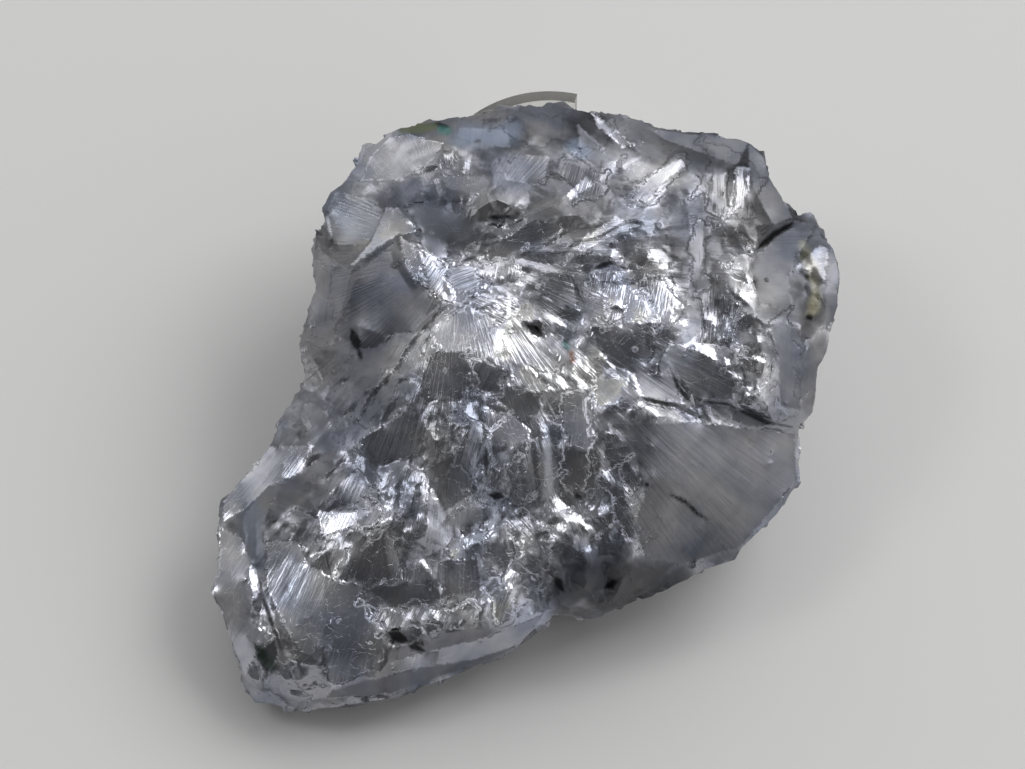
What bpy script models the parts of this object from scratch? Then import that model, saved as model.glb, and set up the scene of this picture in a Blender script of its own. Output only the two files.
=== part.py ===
"""A broken lump of galena that leans on a small clear ring stand. Metres, +Z up.

The stone's broad face is set out square-on, on a sheet that leans back from the table.
Sheet positions are millimetres from the sheet's top left corner: x to the right, y down.
A face's way is where it looks, in degrees: 0 to the right, 90 up the sheet, and its tilt.
"""

import math

import bmesh
import bpy
import numpy as np
from mathutils import Vector
from mathutils.geometry import delaunay_2d_cdt

MM = 0.001

# Driving dimensions, in millimetres and degrees
SHEET_MIDDLE = (52.0, 40.0)
SHEET_LEAN = 60.0  # how far the line square to the sheet rises above the table
RIM_HEIGHT = 15.2  # the rim above the sheet's plane, at the sheet's middle
RIM_FALL = 0.225  # how fast the rim sinks towards the sheet's top
CROWN = 10.5  # how far the face stands over its rim
UNDER_REST = -22.0  # the belly starts to rise behind this line
UNDER_RISE = 0.36
BELLY = (8.0, -19.0, 2.6, 6.5)  # the low bulge under the front: right, up, depth, reach
UNDER_CLEAR = 10.5  # the rear of the belly stays above the ring stand
UNDER_TAPER = 0.93  # the underside is this much smaller than the face
RING_CENTRE = (3.0, 18.4)
RING_RADIUS = 12.1
RING_WALL = 1.1
RING_HEIGHT = 10.0
RING_NOTCH_FLOOR = 5.4
RING_PRONGS = 4
RING_PRONG_SPAN = 53.0
RING_FIRST_PRONG = -13.0  # middle of the rear prong, clockwise from straight back
BASE_HOLD = 0.003  # how strongly the face keeps to its smooth swell
SLOPE_GAIN = 1.25  # the fit flattens steep faces, so they start steeper
SEED = 11

# Ways shared by many small faces
FLASH = (143, 27)
PALE = (120, 9)

OUTLINE = (
    (38.5, 13.4), (39.9, 12.7), (42.3, 12.2), (44.0, 11.9), (46.1, 11.7), (48.0, 11.3),
    (50.6, 10.6), (54.0, 10.4), (56.0, 10.5), (58.0, 10.8), (59.0, 11.1), (61.1, 11.4),
    (62.0, 11.3), (64.0, 11.9), (65.6, 12.5), (70.0, 13.2), (74.0, 13.8), (75.1, 14.2),
    (76.2, 15.3), (76.6, 16.3), (76.8, 17.3), (78.5, 20.1), (79.5, 21.4), (81.1, 21.2),
    (81.5, 21.5), (82.4, 23.7), (83.5, 25.1), (84.0, 27.8), (83.8, 30.5), (83.0, 33.0),
    (82.4, 36.0), (81.9, 36.6), (81.4, 39.7), (81.0, 41.4), (80.1, 42.4), (79.9, 43.5),
    (79.9, 48.2), (79.2, 49.0), (77.6, 51.4), (76.1, 52.8), (74.0, 54.8), (73.4, 55.9),
    (70.3, 56.9), (69.0, 57.8), (67.2, 58.3), (65.0, 59.2), (63.5, 59.8), (62.0, 60.5),
    (60.3, 61.6), (59.0, 61.9), (57.5, 61.7), (56.4, 61.1), (55.4, 61.4), (54.0, 62.5),
    (51.5, 64.6), (50.0, 65.5), (47.9, 66.4), (44.7, 67.7), (41.0, 68.9), (38.7, 69.7),
    (35.0, 70.3), (30.5, 70.9), (27.5, 70.3), (25.6, 70.1), (24.3, 68.3), (24.3, 67.3),
    (23.6, 65.2), (22.5, 61.7), (21.2, 59.0), (21.8, 58.0), (22.0, 54.4), (21.7, 53.3),
    (22.2, 51.2), (22.6, 49.8), (23.6, 48.4), (25.8, 46.5), (27.2, 44.1), (28.0, 42.0),
    (29.7, 39.9), (30.4, 38.4), (30.6, 37.2), (30.1, 36.0), (29.9, 34.4), (30.4, 33.0),
    (30.7, 31.0), (31.5, 29.0), (31.2, 26.5), (31.5, 24.5), (31.9, 22.6), (32.4, 21.8),
    (32.0, 21.0), (33.0, 19.2), (33.9, 18.6), (34.8, 17.4), (36.0, 15.7), (36.2, 14.7),
    (37.8, 14.0),
)

# Each face: its path on the sheet, half its width, its way, and how rough it is (degrees).
UPPER_LEFT = (
    ((37.0, 16.4, 42.5, 17.4), 1.3, PALE, 6),
    ((40.5, 14.2, 43.0, 15.2), 0.8, FLASH, 0),
    ((40.6, 12.9, 45.0, 12.6), 0.5, (80, 52), 0),
    ((34.5, 20.0, 37.5, 20.5), 0.8, (320, 30), 0),
    ((35.6, 22.6, 37.0, 22.4), 1.3, (300, 15), 0),
    ((35.5, 24.6, 37.4, 23.9), 0.6, (60, 12), 0),
    ((39.6, 21.1, 41.6, 22.6), 0.4, (150, 32), 0),
    ((39.5, 23.9, 37.5, 25.2, 35.6, 26.7), 0.4, (110, 28), 0),
    ((32.4, 21.8, 32.8, 24.6), 0.5, (170, 42), 0),
    ((33.4, 25.4, 34.4, 26.3), 0.5, (150, 30), 0),
    ((41.6, 20.0, 44.2, 20.4), 0.9, (310, 32), 0),
    ((42.9, 22.2, 43.6, 24.8), 1.1, (330, 24), 0),
    ((45.0, 22.0, 46.6, 24.2), 1.1, (290, 26), 0),
    ((45.2, 18.7, 48.4, 17.7), 1.2, PALE, 0),
    ((48.0, 18.3, 48.9, 18.0), 0.5, FLASH, 0),
    ((46.4, 14.4, 50.8, 12.9), 0.9, (68, 38), 0),
    ((48.2, 11.9, 51.2, 11.6), 0.5, (110, 32), 0),
    ((40.0, 18.8, 43.6, 18.6), 0.6, (200, 16), 0),
    ((35.8, 18.0, 38.8, 19.2), 0.6, (140, 24), 0),
    ((44.6, 16.4, 48.6, 15.8), 0.7, (60, 16), 0),
)

LEFT_FLANK = (
    ((36.6, 29.0, 37.0, 33.6), 1.3, (250, 38), 0),
    ((38.8, 30.4, 39.4, 32.6), 0.8, (215, 36), 0),
    ((37.0, 35.4, 37.4, 37.8), 0.9, (230, 30), 0),
    ((34.8, 35.6, 35.4, 36.8), 0.6, (180, 28), 0),
    ((39.2, 25.6, 41.0, 28.4), 0.6, (225, 46), 0),
    ((41.8, 29.6, 43.4, 30.7), 0.5, (240, 52), 0),
    ((42.4, 32.2, 40.2, 35.0, 39.4, 36.6), 0.5, (215, 46), 0),
    ((38.8, 37.4, 37.0, 39.6, 35.4, 41.8), 0.4, (205, 44), 0),
    ((32.2, 26.8, 32.4, 30.4), 0.7, (165, 26), 0),
    ((34.0, 28.0, 34.0, 32.0), 0.7, (200, 42), 0),
    ((31.3, 31.6, 31.4, 34.8), 0.6, (160, 28), 0),
    ((33.0, 33.4, 33.2, 36.2), 0.7, (210, 34), 0),
    ((31.0, 36.6, 31.8, 38.6), 0.6, (150, 24), 0),
    ((33.8, 38.2, 34.2, 40.2), 0.6, (190, 38), 0),
    ((40.6, 24.6, 42.0, 27.2), 0.5, (140, 32), 0),
    ((42.9, 26.4, 44.4, 29.4), 0.8, (100, 12), 0),
    ((39.6, 37.6, 38.2, 40.0, 36.6, 42.2), 0.5, (150, 30), 0),
)

MIDDLE = (
    ((45.6, 27.4, 47.4, 28.4), 0.9, FLASH, 0),
    ((48.9, 27.0, 51.0, 27.6), 0.9, (120, 14), 4),
    ((48.0, 30.2, 50.2, 31.0), 0.7, FLASH, 0),
    ((45.6, 33.0, 48.2, 34.6), 1.8, (110, 11), 0),
    ((44.0, 36.6, 45.0, 38.4), 1.4, (300, 17), 0),
    ((37.8, 44.8, 41.0, 43.0), 1.3, (260, 24), 0),
    ((47.8, 37.2, 49.4, 38.6), 1.0, (310, 24), 0),
    ((50.0, 32.8, 49.7, 35.4), 0.45, (320, 36), 0),
    ((51.8, 34.4, 54.0, 36.2), 1.1, (100, 12), 0),
    ((51.4, 32.7, 53.4, 34.1, 56.0, 35.9, 58.4, 37.7), 0.35, FLASH, 0),
    ((51.6, 37.0, 53.2, 38.1), 0.7, PALE, 0),
    ((51.4, 39.8, 53.2, 40.8), 0.9, (300, 26), 0),
    ((47.2, 39.6, 48.8, 40.4, 51.8, 41.8), 0.4, FLASH, 9),
    ((49.8, 42.8, 51.6, 43.8), 1.0, PALE, 0),
    ((50.2, 45.6, 50.9, 46.2), 0.6, FLASH, 0),
    ((47.6, 43.2, 46.8, 46.4), 0.5, (335, 42), 0),
    ((48.6, 44.6, 48.6, 48.2), 0.6, (275, 36), 0),
    ((46.2, 47.6, 47.4, 48.8), 0.6, (320, 34), 0),
    ((48.8, 49.4, 50.8, 49.6), 0.5, (290, 52), 0),
    ((42.6, 41.6, 45.4, 42.8), 1.2, (290, 20), 13),
    ((43.0, 45.2, 45.0, 47.0), 1.2, (270, 22), 12),
    ((52.8, 31.0, 54.2, 31.5), 0.6, FLASH, 10),
    ((55.8, 31.7, 57.6, 32.6, 59.0, 35.0, 61.4, 37.1), 0.5, FLASH, 0),
    ((60.4, 38.4, 62.6, 39.2), 1.1, FLASH, 5),
    ((57.3, 40.2, 57.3, 42.6), 1.1, (95, 14), 0),
    ((58.6, 42.0, 59.2, 45.0), 0.7, (60, 20), 0),
    ((54.6, 43.8, 55.0, 48.6), 0.7, (0, 34), 0),
    ((56.6, 45.8, 56.8, 48.2), 0.8, (285, 16), 0),
    ((56.4, 50.6, 57.6, 51.4), 0.6, (95, 36), 0),
    ((58.8, 46.8, 59.0, 49.8), 0.4, (165, 36), 0),
    ((54.2, 42.1, 56.0, 43.2, 57.6, 45.0), 0.35, FLASH, 0),
    ((59.8, 47.4, 61.2, 50.0, 63.0, 53.2), 0.4, FLASH, 0),
    ((59.2, 51.6, 60.5, 53.1, 61.6, 54.8), 0.35, FLASH, 0),
    ((55.6, 38.4, 58.2, 39.2), 0.8, (320, 22), 0),
    ((52.6, 44.6, 53.4, 48.6), 0.8, (150, 10), 0),
    ((51.6, 47.4, 52.2, 49.6), 0.7, (250, 26), 0),
    ((60.6, 46.8, 62.4, 48.6), 0.8, (20, 22), 0),
)

UPPER_MIDDLE = (
    ((52.0, 11.8, 53.0, 14.6), 0.8, (75, 30), 0),
    ((54.4, 11.6, 55.2, 14.6), 0.8, (55, 36), 0),
    ((56.8, 11.9, 57.6, 14.8), 0.8, (105, 27), 0),
    ((59.2, 12.4, 60.6, 15.2), 0.7, (75, 34), 0),
    ((61.8, 12.4, 63.6, 15.4), 0.7, (95, 22), 0),
    ((65.0, 13.6, 66.4, 14.6), 0.7, (60, 36), 0),
    ((57.0, 17.2, 59.0, 18.8), 1.2, (100, 14), 0),
    ((58.9, 18.0, 59.7, 18.4), 0.4, FLASH, 0),
    ((55.2, 17.5, 55.9, 17.8), 0.4, FLASH, 0),
    ((53.8, 19.0, 54.5, 19.3), 0.4, FLASH, 0),
    ((50.8, 16.2, 53.4, 16.8), 1.1, (60, 22), 0),
    ((49.8, 19.2, 52.2, 19.8), 0.9, (35, 18), 0),
    ((48.9, 21.6, 51.1, 21.6), 0.35, (280, 58), 0),
    ((48.9, 22.8, 50.2, 23.1), 0.4, FLASH, 0),
    ((52.2, 22.1, 55.4, 21.4), 0.45, FLASH, 0),
    ((49.4, 24.2, 53.0, 23.3, 56.0, 22.6), 0.45, (290, 24), 0),
    ((50.2, 25.2, 54.4, 23.9), 0.5, (330, 8), 0),
    ((51.6, 25.9, 54.8, 24.6, 56.4, 23.6), 0.35, FLASH, 0),
    ((57.2, 24.5, 59.8, 23.6, 62.4, 22.2), 0.4, FLASH, 0),
    ((68.0, 16.2, 66.2, 18.0), 0.7, FLASH, 0),
    ((65.4, 18.6, 64.4, 19.6), 0.6, FLASH, 0),
    ((63.4, 20.0, 63.0, 20.8), 0.5, FLASH, 0),
    ((62.4, 24.2, 64.2, 25.0), 1.0, (310, 27), 0),
    ((61.4, 17.2, 63.2, 17.0), 1.2, (65, 20), 0),
    ((60.2, 20.6, 61.4, 20.8), 0.8, (340, 18), 0),
    ((56.4, 20.2, 58.4, 20.6), 0.8, (20, 14), 0),
    ((53.6, 27.0, 56.4, 25.9), 0.7, (100, 16), 0),
    ((66.0, 21.0, 66.6, 26.4), 1.1, (30, 18), 0),
)

UPPER_RIGHT = (
    ((69.4, 14.4, 69.8, 16.0), 0.7, (70, 34), 0),
    ((71.8, 14.8, 72.0, 16.2), 0.7, (55, 30), 0),
    ((71.4, 18.4, 71.6, 20.6), 0.9, (60, 22), 0),
    ((74.0, 17.2, 74.2, 20.8), 0.8, (95, 14), 0),
    ((75.3, 15.0, 75.6, 16.2), 0.6, (40, 46), 0),
    ((76.2, 17.6, 77.4, 20.6), 0.6, (30, 42), 0),
    ((69.8, 17.1, 73.0, 17.0), 0.3, FLASH, 0),
    ((69.6, 22.6, 69.8, 28.0), 0.6, (340, 36), 0),
    ((72.0, 27.4, 74.0, 26.4), 0.9, PALE, 0),
    ((71.6, 22.6, 72.8, 23.8), 0.9, (90, 9), 0),
    ((74.2, 23.8, 75.0, 24.9), 0.6, FLASH, 0),
    ((79.2, 22.5, 77.2, 23.5, 75.8, 25.0), 0.35, (300, 60), 0),
    ((77.6, 21.9, 79.8, 21.9), 0.4, (110, 30), 0),
    ((59.6, 26.6, 62.4, 26.7), 0.4, (270, 62), 0),
    ((62.0, 28.0, 63.4, 28.1), 0.3, (270, 56), 0),
    ((60.8, 28.0, 61.4, 29.6), 0.8, FLASH, 8),
    ((61.8, 30.2, 63.6, 30.6), 0.8, FLASH, 8),
    ((65.4, 29.2, 66.8, 30.6), 1.0, (100, 12), 0),
    ((62.6, 32.0, 66.8, 31.9), 0.4, FLASH, 0),
    ((58.2, 28.2, 58.9, 31.0), 0.9, (95, 14), 0),
    ((54.2, 28.4, 55.2, 28.8), 0.8, (300, 24), 0),
    ((56.2, 29.8, 56.6, 30.6), 0.6, (310, 28), 0),
    ((70.8, 28.2, 74.4, 30.4), 0.4, FLASH, 0),
    ((71.4, 33.6, 73.2, 34.2), 0.8, FLASH, 14),
    ((73.6, 36.4, 75.2, 37.4), 0.9, FLASH, 14),
    ((71.8, 35.8, 72.2, 37.4), 0.7, (140, 22), 12),
    ((74.8, 32.6, 75.6, 34.6), 0.8, FLASH, 12),
    ((74.2, 39.0, 75.8, 39.4), 0.6, FLASH, 12),
    ((77.0, 26.0, 78.6, 28.8), 1.2, (40, 20), 8),
    ((80.8, 25.6, 81.6, 29.6), 1.0, (100, 26), 14),
    ((78.2, 33.2, 78.6, 40.4), 1.1, (20, 18), 0),
    ((82.6, 30.8, 82.0, 35.8), 0.7, (10, 48), 0),
    ((80.9, 37.6, 80.6, 40.8), 0.6, (355, 46), 0),
    ((67.2, 36.2, 71.0, 37.4), 1.4, (310, 21), 0),
    ((60.8, 33.2, 64.4, 35.2), 1.1, (290, 28), 0),
    ((66.2, 33.8, 69.6, 33.6), 0.9, (280, 18), 0),
    ((66.8, 37.0, 67.6, 38.8), 0.25, (0, 52), 0),
    ((64.0, 40.0, 67.8, 40.6, 69.8, 41.6), 0.3, (70, 46), 0),
    ((69.8, 40.2, 72.4, 40.4, 76.6, 42.2, 79.2, 42.8), 0.35, (262, 56), 0),
    ((67.4, 21.0, 67.8, 29.0), 0.7, (60, 8), 0),
)

LOWER_RIGHT = (
    ((64.6, 43.2, 78.0, 45.0), 1.6, (320, 13), 0),
    ((65.0, 46.8, 78.0, 48.4), 1.7, (312, 18), 0),
    ((64.4, 50.0, 75.4, 51.6), 1.3, (302, 22), 0),
    ((65.6, 52.8, 73.6, 53.8), 1.0, (296, 26), 0),
    ((69.4, 56.0, 72.8, 55.4), 0.7, (290, 33), 0),
    ((62.8, 55.6, 66.0, 56.4), 1.1, (302, 27), 0),
    ((67.2, 49.5, 68.6, 50.2, 70.4, 51.8), 0.3, (300, 58), 0),
    ((63.2, 41.6, 63.0, 43.6), 0.6, (20, 22), 0),
    ((60.8, 41.4, 61.4, 44.6), 0.9, (0, 17), 0),
    ((79.2, 44.2, 79.0, 48.2), 0.5, (340, 42), 0),
    ((77.4, 51.0, 75.2, 53.2), 0.5, (315, 44), 0),
    ((64.4, 58.0, 68.6, 57.4), 0.4, (285, 48), 0),
    ((57.2, 61.3, 60.2, 61.0), 0.3, (270, 72), 0),
    ((61.6, 60.0, 66.4, 58.7), 0.25, (282, 70), 0),
)

LOWER_LEFT = (
    ((23.7, 49.2, 23.0, 52.6), 0.7, (168, 30), 0),
    ((23.0, 54.6, 23.0, 58.6), 0.7, (176, 34), 0),
    ((23.8, 61.0, 24.7, 65.4), 0.8, (180, 37), 0),
    ((25.2, 68.0, 26.4, 69.2), 0.6, (205, 46), 0),
    ((25.6, 48.2, 28.0, 46.9), 1.1, (120, 12), 0),
    ((28.8, 43.8, 29.4, 46.8), 1.0, (100, 9), 0),
    ((31.4, 41.2, 32.4, 44.6), 1.2, (60, 8), 0),
    ((27.2, 50.4, 29.4, 49.6), 1.0, (60, 8), 0),
    ((27.9, 43.2, 29.8, 40.4), 0.45, (150, 36), 0),
    ((25.2, 50.6, 25.3, 55.4), 0.6, (200, 44), 0),
    ((25.4, 56.8, 25.7, 59.0), 0.5, (10, 38), 0),
    ((28.0, 55.6, 29.6, 58.8, 31.2, 62.0, 31.4, 65.0), 1.4, (90, 6), 0),
    ((26.6, 59.4, 28.0, 62.2, 29.0, 64.6, 29.9, 67.2), 0.3, (105, 30), 0),
    ((31.0, 66.8, 31.6, 68.6), 0.5, (300, 42), 0),
    ((28.0, 52.2, 31.6, 53.6), 0.8, (250, 16), 12),
    ((25.9, 64.4, 27.4, 66.6), 0.7, (225, 46), 10),
    ((28.2, 66.6, 28.6, 67.8), 0.5, PALE, 0),
    ((29.6, 69.2, 31.6, 69.7), 0.5, (220, 20), 0),
    ((26.8, 70.0, 34.4, 70.3), 0.3, (262, 60), 0),
    ((34.4, 60.0, 34.8, 66.2), 1.7, (80, 6), 0),
    ((35.6, 68.8, 39.4, 68.4), 0.8, (265, 36), 5),
    ((41.0, 66.8, 45.6, 66.0), 0.8, (270, 32), 6),
    ((46.8, 65.2, 49.6, 64.4), 0.7, (275, 36), 5),
    ((37.6, 61.4, 39.4, 61.8), 0.6, FLASH, 8),
    ((40.6, 61.4, 42.2, 61.6), 0.6, FLASH, 8),
    ((43.4, 62.0, 45.2, 62.4), 0.6, FLASH, 8),
    ((46.0, 61.6, 47.4, 61.2), 0.6, FLASH, 8),
    ((50.0, 59.6, 50.3, 61.2), 1.0, FLASH, 0),
    ((51.7, 57.8, 52.6, 58.8), 0.5, FLASH, 0),
    ((53.4, 59.8, 54.2, 60.8), 0.5, FLASH, 0),
    ((38.3, 53.4, 37.6, 57.6), 1.0, (280, 12), 0),
    ((45.0, 56.9, 46.8, 58.8), 1.2, (100, 10), 0),
    ((45.8, 54.3, 48.6, 53.1), 0.4, FLASH, 0),
    ((48.6, 56.3, 49.6, 57.0), 0.6, FLASH, 10),
    ((38.8, 48.6, 39.6, 49.6), 0.5, FLASH, 10),
    ((40.5, 50.8, 41.5, 52.2), 0.7, FLASH, 12),
    ((41.2, 53.9, 42.8, 54.8), 0.35, (290, 54), 0),
    ((34.6, 47.8, 36.2, 49.2), 1.1, (270, 14), 0),
    ((35.9, 46.4, 37.2, 48.2, 38.4, 50.0), 0.35, (150, 32), 0),
    ((33.4, 52.4, 37.2, 51.4), 0.7, FLASH, 0),
    ((32.4, 47.0, 32.3, 49.4), 0.45, FLASH, 0),
    ((34.0, 42.4, 35.2, 43.7), 0.6, FLASH, 10),
    ((33.6, 45.4, 34.8, 45.6), 0.5, PALE, 0),
    ((40.4, 48.4, 42.2, 49.0), 0.45, FLASH, 0),
    ((50.8, 52.0, 52.0, 54.6), 0.8, (115, 18), 0),
    ((53.0, 54.2, 54.2, 56.2), 0.8, (85, 20), 0),
    ((54.2, 52.2, 55.8, 52.4), 0.35, FLASH, 0),
    ((55.4, 53.8, 57.0, 54.2), 0.45, FLASH, 0),
    ((57.0, 56.0, 58.4, 56.4), 0.45, FLASH, 0),
    ((59.5, 56.0, 59.6, 58.0), 0.5, (350, 46), 0),
    ((56.6, 57.4, 56.6, 59.6), 0.35, (10, 60), 0),
    ((59.8, 59.4, 60.6, 59.2), 0.5, PALE, 0),
    ((61.2, 57.0, 61.4, 58.2), 0.4, (200, 42), 0),
    ((55.0, 58.8, 55.2, 60.2), 0.6, (100, 14), 0),
    ((43.6, 51.4, 46.0, 52.2), 1.0, (290, 18), 8),
    ((47.2, 51.0, 49.2, 51.4), 0.8, (300, 22), 0),
    ((41.4, 57.2, 42.8, 59.2), 1.1, (300, 10), 5),
    ((52.4, 62.4, 54.6, 61.6), 0.5, (280, 38), 0),
    ((57.8, 53.6, 58.6, 54.8), 0.7, (30, 26), 0),
)

# Round pits and knobs: middle on the sheet, radius, and how steep the sides are.
HOLLOWS = (
    ((41.9, 23.3), 0.6, 1.8), ((53.5, 33.0), 0.75, 2.0), ((57.8, 49.5), 0.9, 1.5),
    ((71.6, 31.2), 1.6, 0.55), ((74.8, 35.5), 0.5, 1.6), ((80.3, 34.0), 0.6, 1.4),
    ((39.8, 63.4), 1.0, 2.2), ((41.8, 64.5), 0.8, 2.0), ((62.7, 58.0), 0.5, 2.0),
)

FACE_GROUPS = (
    UPPER_LEFT, LEFT_FLANK, MIDDLE, UPPER_MIDDLE, UPPER_RIGHT, LOWER_RIGHT, LOWER_LEFT,
)

LEAN = math.radians(SHEET_LEAN)
RISE = np.array((math.cos(LEAN), math.sin(LEAN)))  # how u-v-w heights turn into z


def to_sheet(x, y):
    """A position on the sheet as right and up from its middle."""
    return np.array((x - SHEET_MIDDLE[0], SHEET_MIDDLE[1] - y))


RIM = np.array([to_sheet(x, y) for x, y in OUTLINE])[::-1]  # anticlockwise


def slope_of(way):
    """The slope of a face that looks the given way."""
    facing, tilt = math.radians(way[0]), math.radians(way[1])
    return -math.tan(tilt) * np.array((math.cos(facing), math.sin(facing)))


def distance_to_path(points, path):
    """How far each point lies from a chain of straight runs."""
    nearest = np.full(len(points), 1e9)
    for start, end in zip(path[:-1], path[1:]):
        run = end - start
        along = np.clip((points - start) @ run / max(run @ run, 1e-12), 0.0, 1.0)
        foot = start + along[:, None] * run
        nearest = np.minimum(nearest, np.linalg.norm(points - foot, axis=1))
    return nearest


def inside_rim(points):
    """Which points lie inside the outline."""
    inside = np.zeros(len(points), bool)
    for a, b in zip(RIM, np.roll(RIM, -1, axis=0)):
        if a[1] == b[1]:
            continue
        spans = (a[1] > points[:, 1]) != (b[1] > points[:, 1])
        crossing = a[0] + (points[:, 1] - a[1]) * (b[0] - a[0]) / (b[1] - a[1])
        inside ^= spans & (points[:, 0] < crossing)
    return inside


def rim_share(points):
    """How far out each point lies, from 0 at the sheet's middle to 1 at the rim."""
    share = np.zeros(len(points))
    for a, b in zip(RIM, np.roll(RIM, -1, axis=0)):
        turn = a[0] * b[1] - a[1] * b[0]
        s = (points[:, 0] * b[1] - points[:, 1] * b[0]) / turn
        t = (a[0] * points[:, 1] - a[1] * points[:, 0]) / turn
        hit = (s >= -1e-9) & (t >= -1e-9)
        share = np.where(hit, np.maximum(share, s + t), share)
    return share


def face_base(points):
    """The smooth swell that the broken faces follow."""
    share = np.clip(rim_share(points), 0.0, 1.0)
    return RIM_HEIGHT - RIM_FALL * points[:, 1] + CROWN * (1.0 - share ** 5.0) ** 0.8


def under_base(points):
    """The underside: down on the table in front, up over the ring stand behind."""
    up = points[:, 1] * UNDER_TAPER
    rising = (-UNDER_RISE * UNDER_REST - (RISE[0] - UNDER_RISE * RISE[1]) * up)
    rising = rising / (RISE[1] + UNDER_RISE * RISE[0])
    level = (UNDER_CLEAR + 0.6 - RISE[0] * up) / RISE[1]
    share = np.clip(rim_share(points), 0.0, 1.0)
    away = np.hypot(points[:, 0] - BELLY[0], points[:, 1] - BELLY[1])
    bulge = BELLY[2] * np.exp(-(away / BELLY[3]) ** 2)
    return np.minimum(rising, level) + 1.6 * share ** 3 - bulge


def spread(rng, path, half):
    """Seed points that fill a band along a path."""
    if half < 0.5:
        points = []
        for start, end in zip(path[:-1], path[1:]):
            steps = max(1, int(np.linalg.norm(end - start) / 0.8))
            points += [start + (end - start) * k / steps for k in range(steps)]
        points.append(path[-1])
        return np.array(points) + rng.normal(0.0, 0.05, (len(points), 2))
    low, high = path.min(axis=0) - half, path.max(axis=0) + half
    step = min(1.3, max(0.7, half * 0.8))
    across = np.arange(low[0], high[0] + step, step)
    along = np.arange(low[1], high[1] + step, step)
    grid = np.stack(np.meshgrid(across, along), -1).reshape(-1, 2)
    grid = grid + rng.uniform(-0.32, 0.32, grid.shape) * step
    kept = grid[distance_to_path(grid, path) < half]
    return kept if len(kept) else path


def place_faces(rng):
    """Seed points over the sheet, with the face and slope that each belongs to."""
    seeds, owners, slopes = [], [], []
    bands = []
    for group in FACE_GROUPS:
        for numbers, half, way, rough in group:
            path = np.array([to_sheet(x, y) for x, y in zip(numbers[::2], numbers[1::2])])
            if seeds:
                clear = distance_to_path(np.array(seeds), path) > half + 0.25
                seeds = [p for p, keep in zip(seeds, clear) if keep]
                owners = [p for p, keep in zip(owners, clear) if keep]
            slope = slope_of(way)
            shared = len(slopes)
            slopes.append(slope)
            for point in spread(rng, path, half):
                seeds.append(point)
                owners.append(shared)
                if rough:
                    owners[-1] = len(slopes)
                    slopes.append(slope + rng.normal(0.0, math.tan(math.radians(rough)), 2))
            bands.append((path, half, slope))
    return seeds, owners, slopes, bands


def fill_between(rng, seeds, owners, slopes, bands, spacing):
    """Smaller faces wherever no named face lies."""
    low, high = RIM.min(axis=0), RIM.max(axis=0)
    tries = rng.uniform(low, high, (26000, 2))
    tries = tries[inside_rim(tries)]
    reach = np.stack([distance_to_path(tries, path) - half for path, half, slope in bands])
    nearest = reach.argmin(axis=0)
    tries, nearest = tries[reach.min(axis=0) > 0.42], nearest[reach.min(axis=0) > 0.42]
    base = base_slope(tries, face_base)
    placed = np.zeros((0, 2))
    for k, point in enumerate(tries):
        if len(placed) and np.min(np.sum((placed - point) ** 2, axis=1)) < spacing ** 2:
            continue
        placed = np.vstack((placed, point))
        seeds.append(point)
        owners.append(len(slopes))
        slope = 0.55 * bands[nearest[k]][2] + 0.45 * base[k] + rng.normal(0.0, 0.24, 2)
        slopes.append(slope)


def base_slope(points, base):
    """The slope of a smooth surface."""
    step = 0.6
    right, up = np.array((step, 0.0)), np.array((0.0, step))
    across = (base(points + right) - base(points - right)) / (2 * step)
    along = (base(points + up) - base(points - up)) / (2 * step)
    return np.clip(np.stack((across, along), -1), -1.2, 1.2)


def middle_of(a, b, c):
    """The middle of the circle through three points."""
    b, c = b - a, c - a
    turn = 2.0 * (b[0] * c[1] - b[1] * c[0])
    if abs(turn) < 1e-12:
        return a + (b + c) / 3.0
    x = (c[1] * (b @ b) - b[1] * (c @ c)) / turn
    y = (b[0] * (c @ c) - c[0] * (b @ b)) / turn
    return a + np.array((x, y))


def face_borders(seeds, owners):
    """The lines between faces, as corner points and pairs of them."""
    angle = np.linspace(0.0, 2.0 * math.pi, 24, endpoint=False)
    fence = 90.0 * np.stack((np.cos(angle), np.sin(angle)), -1)
    points = np.vstack((np.array(seeds), fence))
    owner = list(owners) + [-1] * len(fence)
    found = delaunay_2d_cdt([Vector(p) for p in points], [], [], 0, 1e-7)
    places = np.array([tuple(p) for p in found[0]])
    source = [same[0] for same in found[3]]
    middles, sides = [], {}
    for index, corners in enumerate(found[2]):
        middles.append(middle_of(*(places[c] for c in corners)))
        for a, b in zip(corners, corners[1:] + corners[:1]):
            sides.setdefault((min(a, b), max(a, b)), []).append(index)
    lines = []
    for (a, b), pair in sides.items():
        if len(pair) == 2 and owner[source[a]] != owner[source[b]]:
            lines.append(pair)
    return np.array(middles), lines


def merge_close(points, lines, gap):
    """Joins corner points that nearly touch."""
    kept, place = np.zeros((0, 2)), []
    for point in points:
        if len(kept):
            away = np.sum((kept - point) ** 2, axis=1)
            if away.min() < gap ** 2:
                place.append(int(away.argmin()))
                continue
        place.append(len(kept))
        kept = np.vstack((kept, point))
    joined = {tuple(sorted((place[a], place[b]))) for a, b in lines if place[a] != place[b]}
    return kept, sorted(joined)


def near_rim_moved(points, reach):
    """Corner points that nearly lie on the rim, moved onto it."""
    moved = points.copy()
    for index, point in enumerate(points):
        best, foot = reach, None
        for a, b in zip(RIM, np.roll(RIM, -1, axis=0)):
            run = b - a
            along = min(1.0, max(0.0, (point - a) @ run / (run @ run)))
            place = a + along * run
            away = np.linalg.norm(point - place)
            if away < best:
                best, foot = away, place
        if foot is not None:
            moved[index] = foot
    return moved


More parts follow.
